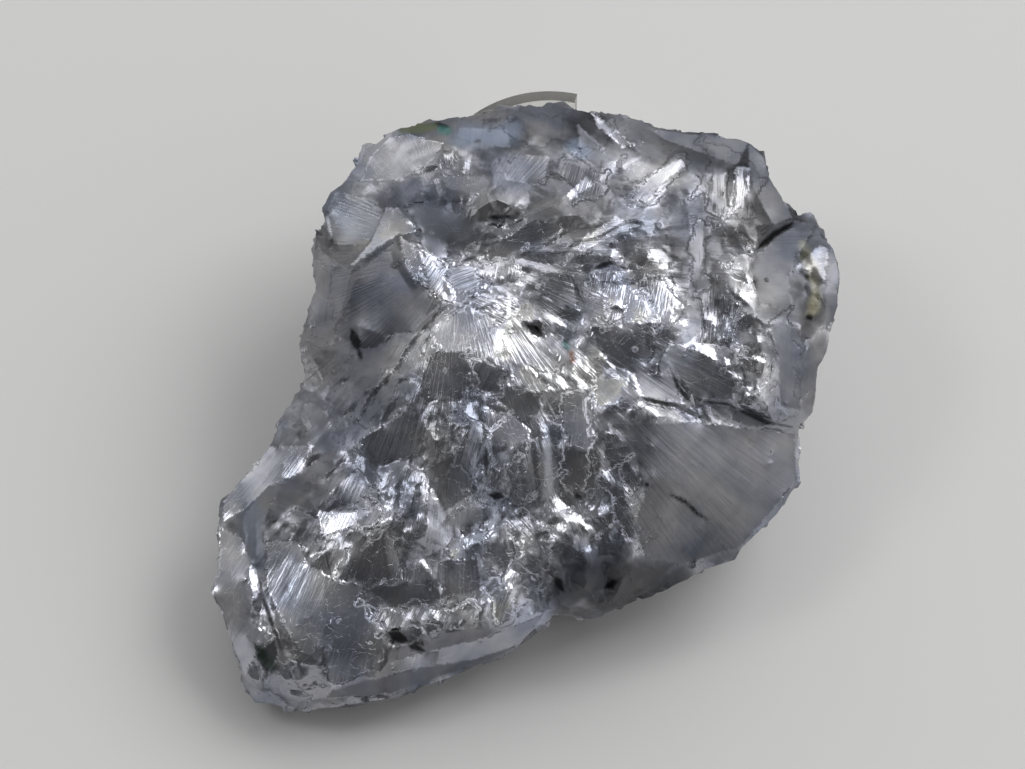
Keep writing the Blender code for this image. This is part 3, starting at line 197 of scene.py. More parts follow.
facets = [
    # flat facets with clear edges: corners, way, freshness, which is painted light and shade: high on
    # facets set to catch the light, low on those turned from it
    ((45.9, 31.3, 50.4, 31.3, 49.1, 35.2, 44.4, 35.2, 43.0, 32.8), (112, 9), 2.0),
    ((43.0, 35.2, 46.5, 35.2, 47.1, 37.2, 44.8, 39.7, 43.0, 40.1), (320, 12), 0.85),
    ((47.7, 37.0, 48.9, 35.6, 50.8, 37.2, 50.1, 39.3, 47.3, 38.9), (310, 14), 0.6),
    ((50.6, 38.1, 51.8, 39.3, 54.0, 39.7, 54.2, 41.1, 52.2, 41.9, 49.9, 40.1), (330, 12), 0.7),
    ((50.8, 35.8, 52.0, 36.0, 55.2, 38.9, 53.6, 39.3, 51.4, 38.3), (100, 12), 2.2),
    ((51.0, 33.2, 52.6, 33.0, 56.1, 36.0, 56.3, 37.5, 54.4, 36.8, 51.8, 35.2), (90, 10), 1.7),
    ((52.2, 32.1, 54.0, 32.1, 54.6, 34.0, 53.2, 33.4), (290, 30), 0.5),
    ((58.9, 32.6, 60.4, 32.8, 61.4, 34.8, 63.6, 36.0, 65.5, 37.3, 63.6, 37.5, 61.0, 36.4,
      59.7, 34.6), (290, 14), 0.85),
    ((66.5, 35.2, 69.7, 35.0, 73.2, 37.3, 73.2, 39.9, 69.3, 39.9, 67.1, 36.4), (315, 13), 0.8),
    ((56.3, 39.1, 59.1, 39.1, 59.3, 45.0, 57.7, 45.0, 56.3, 42.6), (95, 8), 1.7),
    ((48.3, 41.1, 50.8, 41.1, 53.0, 43.0, 52.8, 44.2, 49.1, 44.6), (100, 9), 2.1),
    ((58.9, 38.1, 62.8, 37.7, 62.6, 38.9, 61.4, 40.5, 59.7, 40.5), (125, 16), 2.6),
    ((63.4, 37.2, 67.6, 37.8, 67.8, 40.2, 64.2, 39.8), (330, 10), 0.6),
    ((62.0, 38.7, 64.0, 38.9, 63.6, 40.5, 62.2, 40.7), (110, 11), 1.9),
    ((57.7, 28.5, 59.1, 27.7, 60.4, 29.7, 60.5, 31.9, 58.1, 31.3), (95, 9), 1.4),
    ((54.0, 27.3, 55.7, 27.3, 57.7, 29.3, 57.5, 30.9, 55.2, 30.5), (310, 13), 0.8),
    ((44.6, 26.8, 47.7, 26.7, 47.9, 29.1, 46.1, 29.3, 44.2, 28.1), (125, 16), 2.5),
    ((38.8, 13.7, 40.6, 13.3, 44.3, 14.3, 43.3, 15.9, 40.2, 18.0, 36.1, 18.0, 36.9, 15.7),
     (115, 12), 1.5),
    ((45.9, 12.7, 50.8, 12.9, 51.0, 14.7, 47.7, 14.5, 45.7, 13.5), (70, 24), 0.5),
    ((44.1, 17.6, 48.4, 17.6, 49.0, 18.4, 48.0, 19.6, 44.7, 18.8), (110, 11), 1.3),
    ((33.5, 19.2, 37.3, 19.6, 38.6, 21.6, 36.7, 24.5, 33.7, 24.5, 32.2, 22.3), (280, 8), 0.8),
    ((40.4, 20.4, 43.1, 20.2, 47.5, 22.1, 47.5, 23.7, 45.1, 24.5, 42.2, 23.3), (300, 14), 0.65),
    ((38.6, 20.8, 39.8, 20.8, 42.0, 23.1, 39.8, 23.5, 36.1, 25.9, 34.9, 26.8, 37.1, 24.1),
     (120, 15), 1.4),
    ((39.6, 24.1, 40.6, 26.4, 41.4, 28.0, 44.3, 30.4, 43.1, 33.0, 38.6, 33.6, 34.1, 31.9,
      36.1, 27.0), (285, 14), 0.55),
    ((40.0, 23.7, 44.3, 26.1, 45.1, 27.4, 44.3, 30.2, 41.4, 27.8, 40.6, 26.4), (75, 10), 1.4),
    ((48.6, 25.1, 53.1, 22.1, 56.3, 22.5, 55.5, 24.1, 51.4, 25.5, 49.0, 26.4), (310, 9), 1.2),
    ((31.4, 22.5, 32.2, 25.3, 35.1, 27.0, 34.1, 31.5, 30.8, 33.0), (165, 20), 0.7),
    ((63.0, 42.4, 69.8, 42.2, 79.4, 43.4, 79.6, 48.0, 74.0, 54.6, 68.0, 56.4, 64.4, 55.6,
      63.2, 52.0, 64.4, 49.6, 63.6, 46.0), (316, 10), 0.5),
    ((72.8, 40.6, 77.0, 42.5, 74.8, 42.6, 73.0, 41.8), (290, 20), 0.5),
    ((77.5, 32.0, 80.0, 32.4, 80.0, 41.0, 78.0, 40.6), (350, 12), 0.6),
    ((36.0, 44.0, 40.0, 41.5, 42.5, 42.5, 42.0, 45.5, 37.5, 46.2), (275, 12), 1.0),
    ((56.2, 45.0, 59.2, 45.0, 59.5, 50.0, 58.0, 51.5, 56.0, 50.0), (290, 13), 1.1),
    ((52.8, 44.0, 55.6, 43.4, 56.0, 49.0, 54.0, 50.5, 52.4, 48.4), (345, 16), 1.05),
    ((42.4, 47.0, 46.6, 44.6, 47.8, 49.0, 44.6, 51.0), (300, 12), 0.7),
    ((51.0, 15.4, 55.0, 15.6, 54.4, 18.6, 50.4, 18.0), (70, 13), 0.7),
    ((26.7, 54.1, 27.8, 53.9, 29.9, 54.1, 30.8, 56.2, 32.6, 57.3, 32.9, 61.4, 32.2, 66.0, 30.1,
      64.7, 28.7, 62.4, 26.9, 58.7), (95, 6), 1.75),
    ((32.6, 57.3, 36.1, 58.7, 37.4, 61.4, 38.8, 63.1, 38.4, 65.8, 36.1, 67.4, 33.3, 68.8, 32.5,
      64.7), (60, 6), 1.5),
    ((22.1, 52.7, 24.1, 53.6, 25.5, 55.9, 26.0, 58.7, 25.3, 60.1, 25.5, 62.4, 27.6, 63.3, 25.7,
      65.4, 24.6, 67.4, 22.5, 61.9, 21.4, 58.9, 22.1, 56.9), (165, 16), 1.3),
    ((26.4, 48.6, 28.5, 48.4, 26.9, 50.9, 26.4, 53.2, 26.7, 56.9, 26.0, 58.2, 24.6, 54.8, 24.4,
      51.8, 25.7, 49.7), (215, 18), 0.5),
    ((22.5, 50.0, 26.9, 44.7, 31.5, 44.5, 30.1, 47.2, 26.9, 48.6, 24.6, 50.9, 22.3, 52.3), (120,
      9), 1.25),
    ((33.1, 49.3, 35.8, 46.8, 38.1, 49.3, 37.4, 50.9, 33.8, 50.2), (285, 9), 1.15),
    ((31.9, 51.1, 37.4, 50.9, 36.1, 51.8, 32.9, 54.1, 32.2, 53.2), (125, 16), 2.4),
    ((38.4, 52.3, 34.7, 54.8, 35.6, 58.0, 39.1, 58.2), (200, 8), 0.95),
    ((38.4, 52.3, 39.1, 58.2, 40.4, 57.8, 39.5, 53.9), (20, 8), 1.25),
    ((44.6, 55.9, 47.8, 55.7, 48.0, 58.9, 44.3, 59.6), (90, 7), 1.25),
    ((36.8, 58.7, 43.0, 57.8, 44.3, 59.8, 39.7, 60.8), (285, 14), 0.66),
    ((48.9, 59.6, 50.5, 58.5, 51.5, 61.4, 49.6, 62.4), (125, 16), 2.5),
    ((44.8, 53.9, 48.5, 53.0, 48.7, 53.9, 44.8, 55.0), (110, 12), 2.3),
    ((39.1, 66.0, 48.7, 63.5, 54.4, 61.2, 52.1, 64.2, 47.5, 65.8, 39.5, 67.0), (275, 14), 1.1),
    ((33.3, 68.8, 39.5, 67.2, 47.5, 66.0, 52.1, 64.2, 48.7, 66.0, 38.4, 69.3, 32.9, 69.5), (270,
      26), 0.55),
    ((45.5, 50.7, 49.2, 50.7, 49.4, 51.6, 47.1, 52.7, 44.1, 52.5), (310, 10), 1.1),
    ((25.7, 65.4, 27.6, 63.7, 28.0, 65.4, 26.9, 67.2), (225, 18), 0.3),
    ((62.5, 19.7, 65.7, 16.9, 68.2, 15.9, 68.6, 16.5, 66.3, 18.3, 65.9, 19.3, 63.7, 20.9), (125,
      16), 1.25),
    ((57.0, 24.8, 61.5, 21.7, 64.1, 22.6, 61.9, 23.2, 58.3, 25.2), (125, 16), 2.3),
    ((60.7, 24.6, 64.3, 22.8, 65.1, 24.0, 64.5, 26.8, 62.7, 25.8), (310, 13), 0.95),
    ((59.1, 27.2, 61.9, 26.0, 63.5, 27.4, 62.9, 28.4, 60.1, 28.2), (125, 16), 2.5),
    ((60.3, 28.4, 63.5, 28.6, 67.4, 31.3, 67.4, 32.3, 62.5, 32.3, 62.3, 30.9, 60.9, 30.4), (120,
      15), 2.5),
    ((64.7, 28.2, 67.0, 28.0, 67.6, 31.1, 65.1, 30.4), (90, 10), 1.9),
    ((68.8, 21.3, 70.2, 21.9, 70.4, 25.4, 69.8, 28.0, 68.8, 28.4, 69.0, 24.8), (330, 12), 0.65),
    ((71.4, 26.2, 74.0, 26.4, 74.8, 28.4, 73.4, 28.0), (110, 11), 1.4),
    ((73.6, 16.7, 75.0, 16.7, 75.0, 18.9, 73.0, 21.9, 72.6, 21.7, 73.4, 18.9), (100, 10), 0.9),
    ((69.8, 17.5, 72.6, 17.3, 72.6, 19.3, 70.8, 19.7), (330, 9), 0.6),
    ((75.0, 14.1, 76.5, 15.7, 79.3, 21.7, 77.3, 22.4, 75.4, 18.9, 75.0, 16.9), (30, 16), 0.38),
    ((65.1, 12.8, 75.0, 13.9, 73.8, 16.5, 71.0, 15.5, 66.7, 13.9), (80, 14), 0.45),
    ((75.6, 22.6, 79.5, 22.0, 75.9, 24.8), (290, 24), 0.22),
    ((73.4, 22.8, 75.6, 24.6, 75.2, 25.4, 74.0, 24.6), (125, 16), 1.6),
    ((75.0, 26.2, 79.5, 22.0, 81.7, 22.4, 79.7, 25.4, 78.7, 27.8, 79.3, 31.3, 75.8, 30.4), (330,
      10), 0.36),
    ((79.5, 26.8, 82.1, 24.4, 82.9, 24.8, 82.5, 28.0, 79.7, 27.2), (100, 13), 0.8),
    ((83.3, 24.4, 83.9, 26.8, 83.7, 31.7, 82.5, 33.0, 82.7, 26.8), (10, 22), 0.48),
    ((59.1, 11.0, 63.5, 14.5, 62.3, 14.7, 59.9, 12.6), (110, 12), 1.6),
    ((57.8, 12.4, 60.5, 14.9, 59.9, 17.3, 58.0, 14.9), (300, 12), 0.65),
    ((56.4, 19.7, 58.7, 17.7, 59.3, 18.5, 57.2, 19.9), (115, 13), 2.1),
]
fineFaces = [
    # small bright, pale and dark breaks: path, half width, way
    ((40.4, 14.6, 42.0, 14.0), 0.45, flash), ((41.4, 15.6, 43.0, 15.2), 0.35, flash),
    ((39.8, 15.4, 40.6, 15.8), 0.3, flash), ((38.2, 17.4, 40.0, 16.8), 0.3, pale),
    ((47.9, 18.2, 48.9, 17.9), 0.35, flash), ((41.6, 17.2, 43.4, 16.8), 0.3, dark),
    ((45.4, 27.8, 46.6, 27.4), 0.5, flash), ((46.8, 28.6, 47.8, 28.2), 0.4, flash),
    ((48.0, 30.0, 49.2, 30.4), 0.35, flash), ((49.0, 31.2, 50.4, 31.4), 0.25, flash),
    ((46.0, 29.6, 47.4, 30.2), 0.3, flash), ((44.6, 28.6, 45.0, 29.4), 0.3, flash),
    ((50.0, 32.8, 49.7, 35.4), 0.35, dark), ((48.0, 37.0, 49.6, 38.6), 0.7, dark),
    ((51.6, 37.2, 53.0, 38.0), 0.4, pale), ((47.6, 43.4, 46.8, 46.4), 0.45, dark),
    ((48.6, 44.6, 48.7, 48.2), 0.4, deep), ((48.8, 49.4, 50.6, 49.6), 0.4, deep),
    ((50.3, 45.4, 50.9, 46.2), 0.45, flash), ((53.0, 32.8, 54.0, 33.2), 0.5, deep),
    ((55.0, 32.8, 55.3, 33.1), 0.3, deep), ((52.8, 30.9, 53.6, 31.4), 0.3, flash),
    ((54.0, 31.2, 54.5, 32.0), 0.25, flash), ((60.2, 38.0, 61.8, 38.6), 0.5, flash),
    ((61.6, 39.6, 63.0, 39.4), 0.4, flash), ((62.2, 37.8, 63.2, 38.4), 0.3, pale),
    ((58.5, 34.4, 59.4, 36.2), 0.4, flash), ((56.6, 32.0, 57.6, 32.6), 0.3, flash),
    ((54.6, 43.8, 55.0, 48.6), 0.4, (0, 30)), ((57.3, 49.3, 58.3, 49.8), 0.45, deep),
    ((55.0, 42.3, 55.6, 42.7), 0.35, flash), ((59.0, 18.0, 59.7, 18.4), 0.3, flash),
    ((55.2, 17.5, 55.9, 17.8), 0.3, flash), ((53.8, 19.0, 54.5, 19.3), 0.25, flash),
    ((49.0, 21.7, 51.0, 21.7), 0.3, deep), ((49.0, 22.9, 50.0, 23.1), 0.25, flash),
    ((52.4, 22.0, 55.2, 21.4), 0.3, flash), ((50.4, 25.0, 54.2, 23.9), 0.5, dull),
    ((67.8, 16.2, 66.4, 17.6), 0.45, flash), ((65.2, 18.6, 64.4, 19.4), 0.4, flash),
    ((63.4, 20.0, 63.0, 20.8), 0.3, flash), ((66.8, 18.6, 66.0, 19.8), 0.3, dark),
    ((62.4, 24.2, 64.2, 25.0), 0.8, dark), ((69.8, 17.0, 73.0, 16.9), 0.2, flash),
    ((74.2, 23.8, 75.0, 24.7), 0.4, flash), ((70.6, 19.6, 70.8, 19.8), 0.25, flash),
    ((71.3, 20.5, 71.5, 20.7), 0.25, flash), ((79.2, 22.5, 77.2, 23.5, 75.8, 25.0), 0.3, deep),
    ((59.6, 26.6, 62.4, 26.7), 0.4, deep), ((62.0, 28.1, 63.4, 28.2), 0.22, deep),
    ((60.4, 28.0, 61.4, 28.4), 0.3, flash), ((60.8, 29.2, 62.0, 29.6), 0.35, flash),
    ((61.6, 30.2, 63.2, 30.4), 0.3, flash), ((62.4, 31.6, 66.8, 31.4), 0.3, flash),
    ((65.2, 29.0, 66.6, 29.8), 0.35, pale), ((61.6, 30.7, 62.0, 31.1), 0.25, deep),
    ((54.2, 28.4, 55.2, 28.8), 0.6, dark), ((56.2, 29.8, 56.6, 30.6), 0.5, dark),
    ((71.0, 33.0, 71.8, 33.8), 0.4, flash), ((72.6, 33.6, 73.4, 34.2), 0.3, flash),
    ((73.4, 36.0, 74.2, 36.6), 0.35, flash), ((74.6, 37.4, 75.2, 37.8), 0.3, flash),
    ((71.8, 35.6, 72.2, 36.4), 0.3, flash), ((74.9, 33.0, 75.4, 34.2), 0.3, flash),
    ((74.2, 38.9, 75.6, 39.3), 0.3, flash), ((72.4, 34.0, 72.8, 34.6), 0.22, deep),
    ((74.0, 36.6, 74.4, 36.9), 0.2, deep), ((73.8, 38.2, 74.6, 38.4), 0.2, deep),
    ((80.4, 25.4, 81.0, 26.2), 0.35, flash), ((81.4, 27.0, 81.8, 28.2), 0.35, flash),
    ((80.6, 28.4, 81.0, 29.4), 0.3, flash), ((81.8, 29.6, 82.2, 30.4), 0.25, flash),
    ((80.6, 27.2, 80.8, 27.6), 0.3, deep), ((80.9, 31.7, 81.0, 31.9), 0.3, deep),
    ((82.6, 31.0, 82.2, 35.6), 0.4, (20, 40)), ((66.8, 36.6, 67.6, 38.6), 0.2, deep),
    ((64.0, 39.9, 67.8, 40.6, 69.8, 41.6), 0.25, deep), ((69.9, 41.0, 70.3, 42.2), 0.28, flash),
    ((70.2, 40.2, 72.4, 40.4, 76.6, 42.3, 79.2, 42.8), 0.28, deep),
    ((73.2, 41.3, 75.8, 42.4), 0.35, dark), ((63.8, 46.8, 64.8, 47.4), 0.4, flash),
    ((64.5, 48.3, 64.7, 48.5), 0.18, deep), ((67.2, 49.5, 68.6, 50.2, 69.5, 51.2, 70.4, 51.8), 0.2, deep),
    ((62.6, 39.0, 63.6, 40.4), 0.35, pale), ((27.6, 43.6, 28.4, 42.2, 29.6, 40.6), 0.35, flash),
    ((25.2, 50.6, 25.3, 55.4), 0.4, (200, 38)), ((25.4, 56.8, 25.7, 59.0), 0.4, (10, 34)),
    ((33.0, 52.8, 34.6, 52.4), 0.4, flash), ((35.2, 52.2, 36.6, 51.8), 0.4, flash),
    ((36.8, 51.2, 38.0, 50.8), 0.3, flash), ((32.3, 47.0, 32.2, 49.2), 0.3, flash),
    ((34.0, 42.4, 34.8, 43.2), 0.4, flash), ((35.0, 43.6, 35.6, 43.9), 0.25, flash),
    ((33.6, 45.4, 34.8, 45.6), 0.3, pale), ((38.8, 48.4, 39.6, 49.4), 0.3, flash),
    ((40.4, 50.6, 41.2, 51.8), 0.4, flash), ((41.4, 52.4, 41.9, 53.0), 0.25, flash),
    ((40.4, 48.5, 42.2, 49.1), 0.28, flash), ((41.2, 53.9, 42.8, 54.9), 0.28, deep),
    ((39.6, 53.5, 40.2, 53.8), 0.22, deep), ((45.8, 54.3, 48.6, 53.1), 0.28, flash),
    ((48.3, 56.0, 49.0, 56.6), 0.35, flash), ((49.2, 57.2, 49.9, 57.4), 0.25, flash),
    ((37.6, 61.3, 38.6, 61.6), 0.4, flash), ((39.0, 62.2, 39.8, 62.2), 0.25, flash),
    ((40.6, 61.2, 41.6, 61.4), 0.35, flash), ((43.4, 61.8, 44.4, 62.0), 0.4, flash),
    ((44.8, 62.8, 45.4, 62.9), 0.25, flash), ((46.0, 61.6, 47.2, 61.2), 0.4, flash),
    ((49.6, 59.4, 50.2, 61.2), 0.7, flash), ((51.6, 57.8, 52.6, 58.6), 0.35, flash),
    ((53.2, 59.6, 54.2, 60.8), 0.4, flash), ((39.0, 63.2, 40.6, 63.8), 0.5, deep),
    ((41.0, 64.4, 42.4, 64.9), 0.4, deep), ((49.6, 63.0, 50.0, 63.4), 0.3, dark),
    ((54.2, 52.3, 55.8, 52.5), 0.25, flash), ((52.4, 51.8, 52.8, 52.8), 0.25, flash),
    ((55.4, 53.6, 57.0, 54.2), 0.3, flash), ((57.0, 55.9, 58.2, 56.3), 0.35, flash),
    ((59.5, 55.8, 59.6, 58.0), 0.4, (350, 44)), ((56.6, 57.4, 56.6, 59.6), 0.3, (10, 58)),
    ((59.6, 59.3, 60.6, 59.1), 0.35, flash), ((61.2, 57.0, 61.4, 58.2), 0.3, (200, 40)),
    ((62.5, 57.8, 62.9, 58.2), 0.3, deep), ((25.9, 64.6, 26.8, 65.8), 0.35, deep),
    ((28.4, 66.4, 28.8, 67.4), 0.35, flash), ((29.4, 69.0, 31.4, 69.4), 0.35, pale),
    ((31.0, 66.8, 31.5, 68.8), 0.4, dark), ((41.6, 20.0, 44.0, 20.4), 0.6, dark),
    ((39.6, 25.6, 41.2, 28.4), 0.4, (230, 40)), ((41.0, 24.4, 42.0, 26.6), 0.3, flash),
]
ridgeLines = [
    # path, half width: bright along its upper left side, dark along the other
    ((39.8, 23.7, 40.5, 26.2, 41.2, 27.5, 43.0, 29.5, 44.4, 30.5), 0.35),
    ((44.4, 30.6, 42.5, 32.5, 40.5, 35.0, 39.8, 36.5, 37.0, 39.5, 35.7, 42.0), 0.32),
    ((39.5, 21.0, 42.0, 22.8), 0.35), ((39.6, 23.9, 37.5, 25.1, 35.5, 26.8), 0.35),
    ((32.5, 21.5, 33.0, 25.0, 34.5, 26.2), 0.35), ((48.2, 11.8, 51.4, 11.6), 0.3),
    ((51.0, 32.6, 53.5, 34.4, 56.0, 36.0, 58.5, 38.0), 0.28),
    ((55.5, 31.5, 57.8, 32.5, 59.0, 34.6, 60.0, 36.0, 61.2, 37.0, 62.6, 37.6), 0.3),
    ((47.0, 39.5, 49.0, 40.5, 50.5, 41.0, 52.0, 42.0), 0.28), ((48.0, 40.6, 48.8, 44.0), 0.25),
    ((54.0, 42.0, 56.0, 43.2, 57.5, 44.8, 58.3, 46.0), 0.28),
    ((54.0, 39.4, 56.2, 38.9), 0.22), ((50.8, 36.0, 54.4, 37.9), 0.22),
    ((59.2, 47.0, 61.2, 50.0, 62.5, 52.0, 63.2, 53.5), 0.3),
    ((59.0, 51.0, 60.5, 53.0, 61.7, 55.0), 0.26), ((47.5, 30.8, 50.6, 30.2), 0.2),
    ((47.8, 31.8, 50.4, 30.8), 0.2), ((51.5, 25.6, 55.0, 24.1, 56.5, 23.1), 0.28),
    ((57.0, 24.5, 60.0, 23.5, 62.5, 22.1, 63.8, 22.2), 0.3), ((59.0, 11.3, 61.5, 14.5), 0.22),
    ((60.1, 11.6, 63.6, 15.1), 0.22), ((62.2, 33.2, 65.0, 33.4, 68.0, 33.6), 0.22),
    ((70.5, 27.5, 72.6, 29.0, 74.5, 30.5), 0.3), ((70.0, 29.6, 70.4, 32.2, 72.0, 33.2), 0.25),
    ((26.5, 59.0, 28.0, 62.0, 29.0, 64.5, 30.0, 67.5), 0.26),
    ((35.8, 46.4, 37.0, 48.4, 38.8, 50.1), 0.28), ((62.0, 44.8, 63.6, 47.6), 0.2),
    ((64.0, 48.4, 66.6, 50.6), 0.18), ((66.0, 52.0, 67.3, 53.1), 0.16),
    ((69.0, 52.4, 73.0, 55.0), 0.18), ((64.0, 54.0, 66.6, 57.0), 0.18),
    ((50.6, 51.0, 52.2, 54.8), 0.22), ((52.8, 51.4, 54.2, 55.4), 0.22),
    ((42.4, 53.4, 44.4, 56.2), 0.2), ((68.4, 15.4, 65.6, 19.2), 0.22),
    ((52.2, 12.0, 53.4, 15.2), 0.2), ((55.6, 12.0, 56.4, 15.4), 0.2),
    ((71.6, 15.4, 71.0, 20.6), 0.22), ((74.6, 16.4, 74.9, 21.4), 0.22),
    ((61.0, 26.0, 59.2, 25.2, 57.6, 25.6), 0.2), ((44.0, 49.6, 45.6, 53.0), 0.2),
    ((29.6, 50.6, 31.8, 51.6), 0.2), ((36.2, 59.4, 38.4, 58.2, 40.2, 58.6), 0.2),
    ((53.4, 44.4, 54.0, 49.6), 0.22), ((45.4, 42.4, 42.0, 46.6), 0.18),
    ((46.4, 43.6, 44.6, 48.2), 0.18), ((50.4, 57.0, 48.0, 59.4), 0.2),
]
sculptSettings = {
    "reach": 1.7,        # mm over which a fine break fades into the solid's own shape
    "rounds": 160,
    "leastFront": 0.35,  # least share of a triangle's area seen from the sheet
    "leastArea": 1e-5,   # mm2
    "ragged": 0.35,      # how broken the borders of the fine breaks are
    "toLight": (-0.6, 0.8),  # right and up, roughly the way to the big light
}


def pathDistance(x, y, path):
    # distance to a path of x, y pairs, signed across it, and the distance along it
    best = np.full(len(x), 1e9)
    side, along = np.zeros(len(x)), np.zeros(len(x))
    start = 0.0
    corners = list(zip(path[::2], path[1::2]))
    for (ax, ay), (bx, by) in zip(corners[:-1], corners[1:]):
        dx, dy = bx - ax, by - ay
        length = math.hypot(dx, dy)
        t = np.clip(((x - ax) * dx + (y - ay) * dy) / length ** 2, 0.0, 1.0)
        ox, oy = x - ax - t * dx, y - ay - t * dy
        away = np.hypot(ox, oy)
        closer = away < best
        cross = (dx * (y - ay) - dy * (x - ax)) / length
        best = np.where(closer, away, best)
        side = np.where(closer, cross, side)
        along = np.where(closer, start + t * length, along)
        start += length
    return best, side, along


def insideCorners(x, y, corners):
    # which points lie inside a facet
    inside = np.zeros(len(x), bool)
    places = list(zip(corners[::2], corners[1::2]))
    for (ax, ay), (bx, by) in zip(places, places[1:] + places[:1]):
        if ay == by:
            continue
        crossing = ax + (y - ay) * (bx - ax) / (by - ay)
        inside ^= ((ay > y) != (by > y)) & (x < crossing)
    return inside


def slopeOf(way):
    # slope per mm right and per mm down the sheet
    facing, tilt = math.radians(way[0]), math.radians(way[1])
    return -math.tan(tilt) * np.array((math.cos(facing), -math.sin(facing)))


def meshTriangles(mesh):
    corners = np.empty(len(mesh.polygons) * 3, dtype=np.int32)
    mesh.polygons.foreach_get("vertices", corners)
    return corners.reshape(-1, 3)


# Grain: which way the fine striations run, kept on the mesh for the material

grain = {
    "fan": (46.0, 25.0),  # the sheet point that most of the streaks spread from
    "fanSpan": 26.0,      # mm of width given to each radian of the fan
    "fanShare": 0.35,     # how strong the fan's own streaks are
    "fanStart": (4.0, 6.0),  # mm from its middle where they start, and over which they grow
    "edge": 0.25,         # mm over which a patch's streaks fade out
    "outShare": 0.3,      # how far height off the sheet shifts the streaks
    "patches": [
        # path, half width, direction of the streaks (0 right, 90 up), strength
        ((45.6, 27.4, 47.4, 28.4), 1.6, 20, 1.0), ((48.9, 27.0, 51.2, 27.6), 1.2, 80, 0.9),
        ((47.6, 30.4, 50.4, 31.0), 1.0, -25, 1.0), ((60.6, 28.2, 63.6, 31.0), 1.6, 78, 1.0),
        ((65.2, 29.0, 67.0, 31.0), 1.3, 78, 1.0), ((57.0, 17.2, 59.4, 18.6), 1.5, 72, 1.0),
        ((33.4, 52.4, 37.4, 51.4), 1.2, 68, 1.0), ((40.8, 24.6, 42.4, 27.4), 1.0, 62, 1.0),
        ((42.9, 26.4, 44.6, 29.4), 1.0, 55, 0.9), ((39.6, 38.0, 36.6, 42.0), 0.9, 48, 0.9),
        ((71.4, 29.4, 71.8, 33.0), 1.8, 85, 0.7), ((47.6, 43.6, 48.6, 48.6), 1.8, 72, 0.9),
        ((51.4, 51.6, 53.6, 55.6), 1.6, -48, 0.6), ((67.6, 16.6, 65.0, 19.4), 1.2, 42, 0.8),
        ((52.0, 12.6, 60.0, 13.4), 1.5, 84, 0.5), ((71.8, 15.4, 72.0, 20.6), 1.4, 88, 0.5),
        ((74.4, 17.0, 74.4, 21.0), 1.2, 84, 0.5), ((57.4, 40.0, 57.6, 48.0), 1.3, 86, 0.35),
        ((69.8, 22.8, 69.8, 28.4), 0.8, 88, 0.6), ((31.6, 27.0, 32.2, 34.0), 1.3, 82, 0.5),
        ((48.0, 36.8, 49.6, 38.8), 1.0, 60, 0.8), ((61.0, 47.6, 63.0, 53.0), 1.0, -58, 0.8),
        ((37.6, 61.4, 47.0, 61.6), 1.0, 60, 0.7), ((50.0, 59.4, 50.4, 61.2), 1.1, 70, 0.8),
        ((78.2, 33.2, 78.6, 40.4), 1.2, 86, 0.4), ((29.6, 69.2, 27.0, 66.6), 1.2, 55, 0.7),
    ],
}


def raggedness(x, y):
    # uneven number around 0 that gives every patch a broken border
    total = np.zeros(len(x))
    for k in range(1, 5):
        bend = 1.4 * np.sin(y * 0.53 * k + 2.1 * k)
        total += np.sin(x * 0.71 * k * 1.6 + bend + k) * np.sin(y * 0.83 * k * 1.5 - bend + 2.7 * k) / k
    return total * 0.5


calmBorder = {"ragged": 0.4, "start": 0.9, "fade": 0.25}  # shares of a face's half width


def calmField(x, y):
    # 0 inside the broad smooth faces and 1 well away from them
    share = np.ones(len(x))
    ragged = raggedness(x, y)
    for path, half, _ in calmFaces:
        away, _, _ = pathDistance(x, y, path)
        away = away * (1.0 + calmBorder["ragged"] * ragged)
        beyond = (away - half * calmBorder["start"]) / (half * calmBorder["fade"])
        share = np.minimum(share, np.clip(beyond, 0.0, 1.0))
    for corners, _, _ in facets:
        share[insideCorners(x, y, corners)] = 0.0
    return share


frontFade = 0.26  # how far a surface turns away from the sheet before the face's looks end
sideFresh = 0.75


def frontShare(mesh):
    # 1 on the broad face and 0 where the stone turns well away from the sheet
    _, normals = meshArrays(mesh)
    return np.clip((normals @ sheetOut + frontFade) / frontFade, 0.0, 1.0)


def calmShare(mesh):
    x, y, _ = sheetPlaces(mesh).T
    return np.maximum(calmField(x, y), 1.0 - frontShare(mesh))


def grainField(x, y):
    # position across and along the streaks, and how strong they are
    fanX, fanY = x - grain["fan"][0], y - grain["fan"][1]
    reach = np.hypot(fanX, fanY)
    across = np.arctan2(fanY, fanX) * grain["fanSpan"]
    along = reach.copy()
    start, span = grain["fanStart"]
    strength = grain["fanShare"] * np.clip((reach - start) / span, 0.0, 1.0)
    ragged = raggedness(x, y)
    for path, half, turn, amount in grain["patches"]:
        away, _, _ = pathDistance(x, y, path)
        away = away * (1.0 + 0.8 * ragged) + 0.3 * ragged
        inside = away < half
        a = math.radians(turn)
        across = np.where(inside, x * math.sin(a) + y * math.cos(a), across)
        along = np.where(inside, x * math.cos(a) - y * math.sin(a), along)
        strength = np.where(inside, amount * np.clip((half - away) / grain["edge"], 0.0, 1.0), strength)
    return across, along, strength


def storeGrain(mesh):
    flat = sheetPlaces(mesh)
    across, along, strength = grainField(flat[:, 0], flat[:, 1])
    layer = mesh.attributes.new("grainPlace", "FLOAT_VECTOR", "POINT")
    place = np.stack((across, along, flat[:, 2] * grain["outShare"]), -1)
    layer.data.foreach_set("vector", place.astype(np.float32).ravel())
    storeValue(mesh, "grainAmount", strength)


def hashed(i, j, salt):
    # an even scatter of numbers from 0 to 1 for whole number cells
    value = np.sin(i * 127.1 + j * 311.7 + salt * 74.7) * 43758.5453
    return value - np.floor(value)


